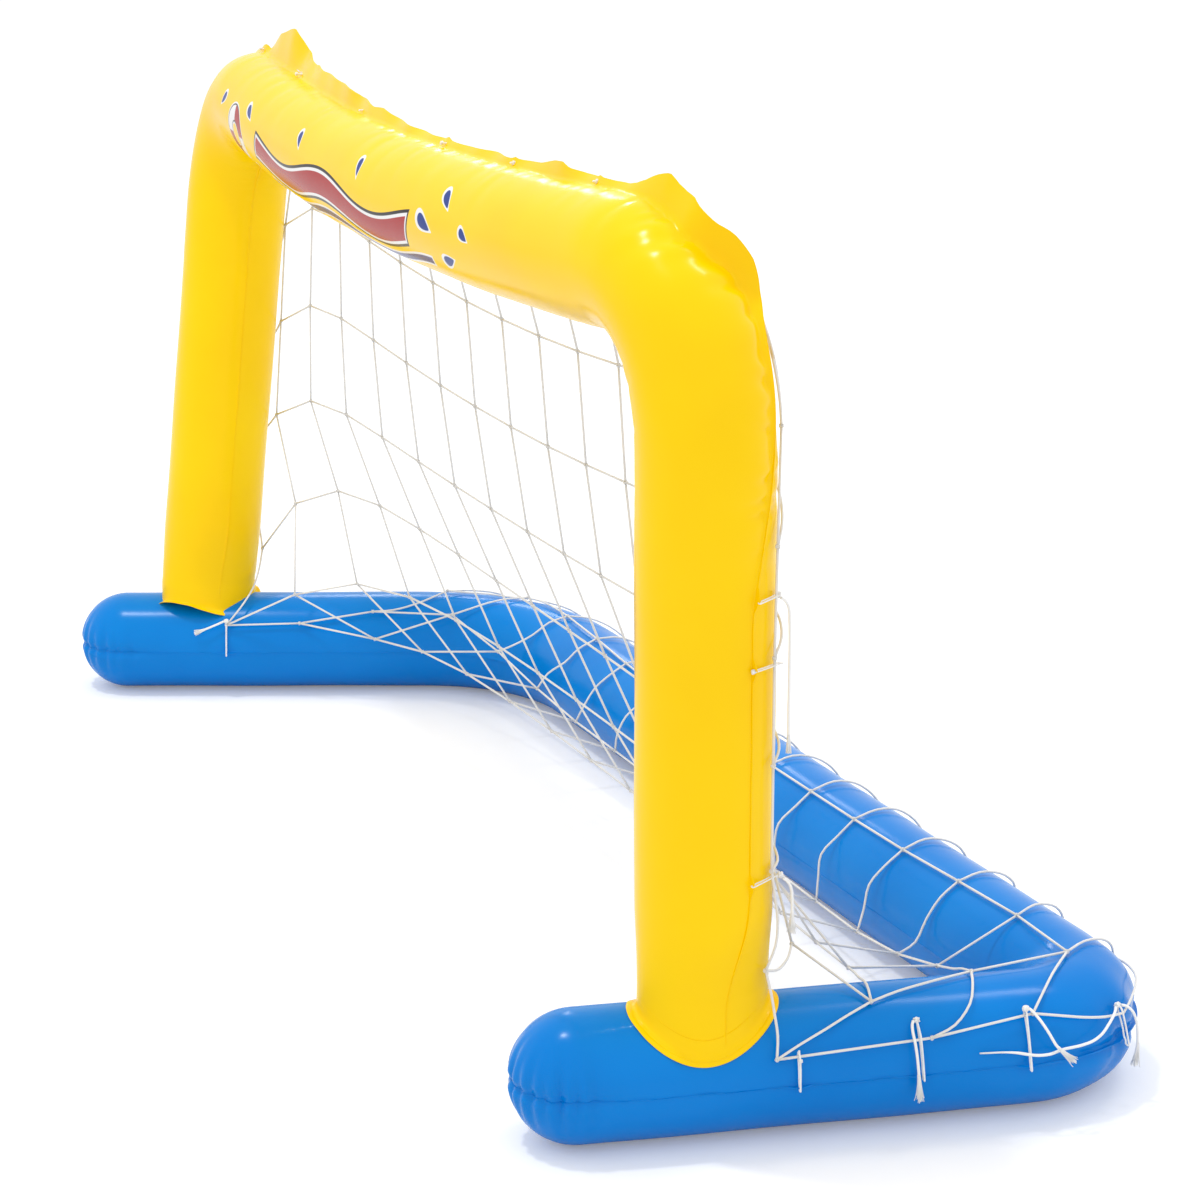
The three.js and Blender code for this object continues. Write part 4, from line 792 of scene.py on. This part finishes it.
def base_top_at(x, y):
    """The height of the base tube's surface over a point, in mm."""
    slope = np.where(x > 0, right_slope, -left_slope)
    seat = np.where(x > 0, seat_x, -seat_x)
    aside = (x - seat - slope * y) / np.sqrt(1 + slope**2)
    return axis_height + np.sqrt(np.maximum(tube_radius**2 - aside**2, 0))


def trim_feet(grid):
    """Slides the lowest rings down to the round back of the base."""
    low = axis_height + 8
    high = 132.0
    z = grid[..., 2]
    share = np.clip((z - low) / (high - low), 0, 1)
    bed = base_top_at(grid[..., 0], grid[..., 1]) + 0.3
    grid[..., 2] = np.where(z < high, bed + share * (high - bed), z)
    return grid


sheet_map = np.stack(np.broadcast_arrays(arch_line[:, :1], tube_radius * column_angles), -1)
for name, sign, solid in (("arch_front_film", -1, "arch_front_sheet"),
                          ("arch_rear_film", 1, "arch_rear_sheet")):
    grid = trim_feet(sheet_grid(film_arch, sign, arch_fin, arch_inner_fin, arch_width, arch_draw_in,
                                arch_sway, arch_crimp))
    outward = grid - arch["middle"][:, None]
    if sign < 0:
        piece = sheet_piece(name, grid, outward, printed.material, sheet_map)
    else:
        piece = sheet_piece(name, grid, outward, yellow, flange="arch_valve_flange")
    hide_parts(solid)

# %% [markdown]
# ## The base's ends and puckers
# The blue tube has blown round at both ends. More rings are added there, each smaller than the one
# before and pushed on, and the weld gathers into deep radial pleats, given in a table.

# %% Base shape
end_angles = np.radians([*np.arange(3, 84, 3), 85.5, 87.5, 89, 90])
ends = len(end_angles)
rings = len(base_line)
order = [0] * ends + list(range(rings)) + [rings - 1] * ends
turned = np.concatenate([end_angles[::-1], np.zeros(rings), end_angles])
way = np.concatenate([-np.ones(ends), np.zeros(rings), np.ones(ends)])
base_rings = {key: base[key][order] for key in ("middle", "along", "side", "out")}
base_rings["run"] = base["run"][order] + way * turned * tube_radius
base_run = base_rings["run"]
base_shrink = np.cos(turned)[:, None]
base_push = (way * np.sin(turned))[:, None]
base_length = base["run"][-1]
base_x = base_rings["middle"][:, 0]
base_y = base_rings["middle"][:, 1]
end_share = hump(np.minimum(base_run + 86, base_length + 86 - base_run), 0, 62)
corner_share = smooth_step(base_y, 235, 320) * hump(base_x, 700, 60)
left_bend_share = smooth_step(base_y, 150, 300) * smooth_step(-base_x, 330, 470)
base_strength = 0.25 + 3.2 * end_share + 2.6 * corner_share + 1.0 * left_bend_share
broad_strength = 0.15 + 1.4 * end_share + 5.0 * corner_share + 1.4 * left_bend_share
base_puckers = ((grooves(21, base_length, 12, 90), "outer", base_strength),
                (grooves(22, base_length, 12, 90), "inner", base_strength),
                (grooves(23, base_length, 24, 90, size=2.0), "outer", broad_strength))
base_crimp = 0.15 + 5 * corner_share
base_fin = 0.45 - 0.2 * end_share + 3 * corner_share
base_fin = add_ears(base_fin, base_rings, tie_nodes("right_arm_tie", "right_foot_tie", "rear_tie"), 4.6, 8)
base_inner_fin = add_ears(0.45 - 0.2 * end_share, base_rings, tie_nodes("left_foot_tie"), 4.6, 8)
tip_pleats = (
    (-24, 2.0, 4.0, 15), (-7, 3.4, 4.2, 24), (9, 2.6, 3.6, 19), (24, 4.2, 4.4, 28), (40, 2.8, 3.4, 21),
    (54, 3.9, 4.2, 27), (70, 2.9, 3.6, 22), (86, 4.3, 4.2, 28), (103, 3.0, 3.6, 22), (120, 4.0, 4.2, 26),
    (137, 2.8, 3.6, 20), (155, 3.6, 4.0, 23), (172, 2.4, 3.8, 18), (190, 2.8, 4.0, 17))
crease_depth = 2.8


def tip_dents():
    """Radial pleats round each rounded end, and the crease that its weld lies in."""
    inside = np.clip(np.minimum(base_run, base_length - base_run), 0, None)[:, None]
    on_body = np.where(column_angles < math.pi / 2, -inside / tube_radius, math.pi + inside / tube_radius)
    round_tip = np.arctan2(np.sin(turned)[:, None], base_shrink * np.cos(column_angles))
    round_tip = np.where(turned[:, None] > 0, round_tip, on_body)
    from_weld = tube_radius * np.arcsin(np.clip(base_shrink * np.sin(column_angles), 0, 1))
    total = crease_depth * hump(from_weld, 0, 4.5)
    for degrees, depth, width, reach in tip_pleats:
        off = tube_radius * (round_tip - math.radians(degrees))
        total = total + depth * hump(off, 0, width) * hump(from_weld, 0, reach)
    return total * hump(inside, 0, 26)


print("base", len(base_run), "rings with its ends")

# %% [markdown]
# ## The base
# The base lies on the ground on its lower sheet, and the weld stays nearly flat along the arms.

# %% Base film
def base_draw_in(run, from_outer, from_inner):
    body = 0.45 * np.sin(run / 71 + from_outer / 29 + 2) * np.sin(run / 52)
    calm = 1 - end_share[:, None]
    return sunk(base_puckers, run, from_outer, from_inner) * base_shrink ** 2 + body * calm + 0.3


def base_sway(run):
    return 0.6 * ripple(run, (49, 28, 77), 9) * (1 - 0.8 * end_share)


for name, sign, solid in (("base_top_film", -1, "base_top_sheet"),
                          ("base_bottom_film", 1, "base_bottom_sheet")):
    grid = sheet_grid(base_rings, sign, base_fin, base_inner_fin, 1.0, base_draw_in, base_sway, base_crimp,
                      base_shrink, base_push, tip_dents())
    outward = grid - base_rings["middle"][:, None]
    grid[..., 2] = np.maximum(grid[..., 2], 0.05)
    piece = sheet_piece(name, grid, outward, blue, flange="base_valve_flange" if sign < 0 else None)
    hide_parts(solid)

# %% [markdown]
# ## Collars
# Where a post stands on the base, its film turns out into a flange that is welded down all round.
# The flange is a band round the post's oval: down the post's wall, round a small fillet, out over
# the base's round back and down at its rolled edge.

# %% Collars
post_half = 41.8
collar_profile = (
    (-0.3, 14, 0.2), (-0.2, 9, 0.2), (0.1, 5, 0.2), (0.7, 2.6, 0.2), (1.7, 1.0, 0.35), (2.8, 0.25, 0.7),
    (3.8, 0, 1.0), (4.3, 0, 0.75), (4.8, 0, 1.0), (6.0, 0, 1.2), (7.4, 0, 1.15), (8.6, 0, 1.2),
    (9.2, 0, 1.0), (9.4, 0, 0.6))


def collar_piece(name, foot_at, seat_at, slope, solid, rounding):
    """A flange of even width round the foot, laid out flat on the unrolled base and rolled up again."""
    heading = np.array((slope, 1, 0)) / math.hypot(slope, 1)
    aside = np.array((1, -slope, 0)) / math.hypot(slope, 1)
    seat = np.array((seat_at, 0, axis_height))
    turns = np.linspace(0, 2 * math.pi, 145)[:-1]
    foot = np.stack([foot_at + post_half * np.cos(turns), tube_radius * np.sin(turns), 0 * turns], 1)
    foot[:, 0] -= seat_at
    flat = np.stack([tube_radius * np.arcsin(foot @ aside / tube_radius), foot @ heading], 1)
    tangent = np.roll(flat, -1, 0) - np.roll(flat, 1, 0)
    tangent /= np.linalg.norm(tangent, axis=1)[:, None]
    outward = np.stack([tangent[:, 1], -tangent[:, 0]], 1)
    rows = []
    for reach, up, off in collar_profile:
        line = flat + outward * reach
        for _ in range(int(rounding * max(reach, 0))):
            line = (np.roll(line, 1, 0) + 2 * line + np.roll(line, -1, 0)) / 4
        angle = line[:, :1] / tube_radius
        radial = aside * np.sin(angle) + np.array((0, 0, 1)) * np.cos(angle)
        wave = (0.25 * np.sin(turns * 9 + 1) + 0.15 * np.sin(turns * 17)) * (reach > 2)
        rows.append(seat + heading * line[:, 1:] + radial * (tube_radius + 0.3 + off + wave)[:, None]
                    + np.array((0, 0, up)))
    grid = np.array(rows)
    grid = np.concatenate([grid, grid[:, :1]], 1)
    piece = sheet_piece(name, grid, grid - seat, yellow)
    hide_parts(solid)


collar_piece("right_collar_film", foot_x, seat_x, right_slope, "right_post_collar", 4)
collar_piece("left_collar_film", -foot_x, -seat_x, -left_slope, "left_post_collar", 12)

# %% [markdown]
# ## Reading the net
# The net's solids hold its true hang: thin square cords that meet in knots. Their corners are
# gathered into clusters, one for each bend and each knot, and the edges between clusters are the
# cords. Only the cords by the crossbar are drawn down to the film and turned with its seam.

# %% Net lines
settles_within = 36


def corner_clusters(names, reach):
    """Cluster centres and sizes of the named solids' corners, and the links between clusters."""
    places = []
    edges = []
    for name in names:
        mesh = nodes[name].data
        start = len(places)
        places.extend(v.co for v in mesh.vertices)
        edges.extend((start + e.vertices[0], start + e.vertices[1]) for e in mesh.edges)
    tree = KDTree(len(places))
    for i, p in enumerate(places):
        tree.insert(p, i)
    tree.balance()
    number = {}
    corners = []
    for i in range(len(places)):
        if i in number:
            continue
        number[i] = len(corners)
        group = [i]
        for j in group:
            for _, near, _ in tree.find_range(places[j], reach):
                if near not in number:
                    number[near] = number[i]
                    group.append(near)
        corners.append(np.unique(np.array([places[j] for j in group], float).round(6), axis=0))
    links = {tuple(sorted((number[a], number[b]))) for a, b in edges}
    links = {pair for pair in links if pair[0] != pair[1]}
    return [c.mean(0) for c in corners], [len(c) for c in corners], links


def joined(count, links):
    """Each cluster's neighbours."""
    beside = {k: [] for k in range(count)}
    for a, b in links:
        beside[a].append(b)
        beside[b].append(a)
    return beside


def by_ring(place):
    """The arch's ring next to a place, and how far out, aside and along the place is from it."""
    p = np.array(place) / mm - origin
    k = np.argmin(np.linalg.norm(arch_line - p, axis=1))
    away = p - arch_line[k]
    return k, away @ arch["out"][k], away @ arch["side"][k], away @ arch["along"][k]


def off_ring(k, out, side, along):
    """The place that lies so far out, aside and along from a ring."""
    far = arch["out"][k] * out + arch["side"][k] * side + arch["along"][k] * along
    return (arch_line[k] + far + origin) * mm


def settled(place):
    """A place near the crossbar, drawn down towards the film and turned with its seam."""
    k, out, side, along = by_ring(place)
    far = math.hypot(out, side)
    proud = far - tube_radius
    if proud > settles_within or proud < 0:
        return np.array(place)
    closer = 1.3 + 0.12 * proud if proud < 20 else 3.7 + (proud - 20) * 32.3 / 16
    share = smooth_step(place[2] / mm, 465, 550)
    now = math.atan2(side, out)
    by_seam = (1 - smooth_step(math.degrees(now), 20, 60)) * (1 - smooth_step(proud, 14, 34))
    later = now + twist[k] * share * by_seam
    far -= (proud - min(closer, proud)) * share
    return off_ring(k, far * math.cos(later), far * math.sin(later), along)


net_names = sorted(n for n in nodes if n.startswith("net_"))
net_places, net_sizes, net_links = corner_clusters(net_names, 2.6 * mm)
net_places = [settled(p) for p in net_places]
neighbours = joined(len(net_places), net_links)
is_knot = {k: len(neighbours[k]) != 2 or net_sizes[k] > 6 for k in neighbours}
print("net:", sum(is_knot.values()), "knots,", len(net_places), "points,", len(net_links), "links")

# %% [markdown]
# ## Net cords
# Each mesh side is one cord from knot to knot, through the bends between them, with a slight
# unevenness of its own, as hand-knotted cord has.

# %% Net cords
net_cord = 2.2 * mm
wander = np.random.default_rng(31)
chains = []
used = set()
for knot in (k for k in neighbours if is_knot[k]):
    for step in sorted(neighbours[knot]):
        if (knot, step) in used:
            continue
        chain = [knot, step]
        here = step
        while not is_knot[here]:
            onward = [n for n in neighbours[here] if n != chain[-2]]
            if not onward:
                break
            here = onward[0]
            chain.append(here)
        used.add((chain[-1], chain[-2]))
        used.add((knot, step))
        chains.append(chain)
nudges = {k: np.zeros(3) if is_knot[k] else wander.normal(0, 0.45 * mm, 3) for k in neighbours}
for chain in chains:
    points = [net_places[k] + nudges[k] for k in chain]
    if len(points) > 1:
        add_tube("net_cords", smooth_route(points, 3), net_cord / 2, 8)
net = finish_cords("net_cords", net_shaded_finish)
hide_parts(*net_names)
print(len(chains), "mesh sides")

# %% [markdown]
# ## Net knots
# A knot is two crossing wraps over a core. One is shaped at every crossing, turned along its cords.

# %% Net knots
def wrapped_knot(store, place, along, over, size):
    """A core with two crossing wraps, turned to its cords."""
    along = unit(along)
    over = unit(over - along * (over @ along))
    third = np.cross(along, over)
    core = [place + along * size * t for t in (-1.15, -0.75, 0, 0.75, 1.15)]
    add_tube(store, core, size, 6, thin=(0.35, 0.8, 1, 0.8, 0.35))
    for tilt in (0.55, -0.55):
        ring = []
        for angle in (2 * math.pi * k / 9 for k in range(9)):
            lean = along * math.sin(angle) * size * tilt
            ring.append(place + (over * math.cos(angle) + third * math.sin(angle)) * size * 0.95 + lean)
        add_tube(store, ring, size * 0.45, 4, closed=True)


for knot in (k for k in neighbours if is_knot[k] and len(neighbours[k]) > 2):
    around = sorted(neighbours[knot])
    first = net_places[around[0]] - net_places[knot]
    best = min(around[1:], key=lambda n: abs(first @ (net_places[n] - net_places[knot])))
    wrapped_knot("net_knots", net_places[knot], first, net_places[best] - net_places[knot], 1.55 * mm)
knots = finish_cords("net_knots", net_shaded_finish)

# %% [markdown]
# ## Ties
# Short loops of cord hold the net's edge: each runs from an eyelet in the weld fin, round the edge
# cord and back over the fin. They are read from their solids in the same way as the net, and
# drawn in to slim loops that lie by the film.

# %% Ties
seam_lift = 3.5
drawn_in = 0.45


def turned_back(place):
    """A place by the near post, turned round it with the film's seam; the edge cord's side stays."""
    k, out, side, along = by_ring(place)
    angle = twist[k] * (1 - smooth_step(math.degrees(math.atan2(side, out)), 20, 50))
    c = math.cos(angle)
    s = math.sin(angle)
    return off_ring(k, out * c - side * s - seam_lift * s, out * s + side * c, along)


def round_loop(places, links, start):
    """The clusters in their order round the loop, from the knot."""
    beside = joined(len(places), links)
    loop = [start]
    previous = None
    while True:
        onward = [n for n in beside[loop[-1]] if n != previous and n not in loop[1:]]
        onward = [n for n in onward if n != start or len(loop) > 3]
        if not onward:
            return loop
        nearest = min(onward, key=lambda n: np.linalg.norm(places[n] - places[loop[-1]]))
        if nearest == start:
            return loop
        previous = loop[-1]
        loop.append(nearest)


for name in sorted(n for n in nodes if "_tie" in n):
    places, sizes, links = corner_clusters([name], 1.5 * mm)
    start = max(range(len(places)), key=lambda k: sizes[k])
    loop = round_loop(places, links, start)
    places = [settled(p) for p in places]
    if name.startswith("right_post_tie"):
        places = [turned_back(p) for p in places]
    far_side = max(loop, key=lambda k: np.linalg.norm(places[k] - places[start]))
    pull = unit(places[far_side] - places[start])
    middle = np.mean([places[k] for k in loop], axis=0)
    for k in loop[1:]:
        aside = places[k] - middle
        aside -= pull * (aside @ pull)
        places[k] = places[k] - aside * drawn_in
    route = smooth_route([places[k] for k in loop], 3, closed=True)
    radius = 0.55 if "post_tie" in name else 0.8
    add_tube(name + "_cord", route, radius * mm, 8, closed=True)
    size = 2.2 if sizes[start] > 12 else 1.5
    along = places[loop[1]] - places[start]
    over = places[loop[-1]] - places[start] + np.array((0.1, 0.2, 0.3)) * mm
    wrapped_knot(name + "_cord", places[start], along, over, size * mm)
    piece = finish_cords(name + "_cord", tie_finish)
    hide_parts(name)

# %% [markdown]
# ## Valves
# Each tube is blown up through a soft clear stem with a plug on it. The solids' shapes are right,
# so they stay, and get a milky clear vinyl.

# %% Valve finish
vinyl = Finish("clear_vinyl")
haze = vinyl.ramp(vinyl.noise(160), (0.3, (0.78, 0.82, 0.85, 1)), (0.7, (0.9, 0.92, 0.93, 1)))
vinyl.fill(vinyl.shader, {"Base Color": haze, "Roughness": 0.3, "Transmission Weight": 0.35})
for name, solid in nodes.items():
    if "_valve_" in name:
        solid.data.materials.clear()
        solid.data.materials.append(vinyl.material)
print("vinyl on both valves")

# %% [markdown]
# ## Floor and light
# The goal stands on white paper under a plain white sky. A small lamp high over the front gives the
# round highlights and the soft shadow, a weak one on the far left lights the film's edge there, and
# a strip behind gives the long glint on the bar.

# %% Floor and light
bpy.ops.object.select_all(action="DESELECT")
bpy.ops.mesh.primitive_plane_add(size=60, location=(0, 0, -0.0002))
floor = bpy.context.object
floor.name = "floor"
paper_glow = 0.19
paper = Finish("paper")
rays = paper.node("LightPath").outputs
seen = paper.maths("MAXIMUM", rays["Is Camera Ray"], rays["Is Transmission Ray"])
glow = paper.maths("MULTIPLY", seen, paper_glow)
paper.fill(paper.shader, {"Base Color": (0.86, 0.86, 0.86, 1), "Roughness": 0.9, "Specular IOR Level": 0.0,
                          "Emission Color": (1, 1, 1, 1), "Emission Strength": glow})
floor.data.materials.append(paper.material)

bpy.context.scene.view_settings.view_transform = "Standard"
world = bpy.data.worlds.new("sky")
world.use_nodes = True
bpy.context.scene.world = world
back = world.node_tree.nodes["Background"]
back.inputs["Color"].default_value = (1, 1, 1, 1)
back.inputs["Strength"].default_value = 1.0


def soft_lamp(name, place, aim, width, depth, power):
    lamp = bpy.data.lights.new(name, "AREA")
    lamp.shape = "RECTANGLE"
    lamp.size = width
    lamp.size_y = depth
    lamp.energy = power
    holder = bpy.data.objects.new(name, lamp)
    holder.location = place
    holder.rotation_euler = (Vector(aim) - Vector(place)).to_track_quat("-Z", "Y").to_euler()
    bpy.context.scene.collection.objects.link(holder)


soft_lamp("key_lamp", (-0.4, -1.1, 4.6), (0.2, 0, 0.3), 0.36, 0.36, 52)
soft_lamp("window_lamp", (-4.3, 1.4, 2.6), (0, 0.1, 0.3), 0.3, 0.9, 8)
soft_lamp("strip_lamp", (-0.15, 2.0, 4.5), (0.7, 0.1, 0.1), 1.2, 0.3, 24)
print("floor and lights ready")
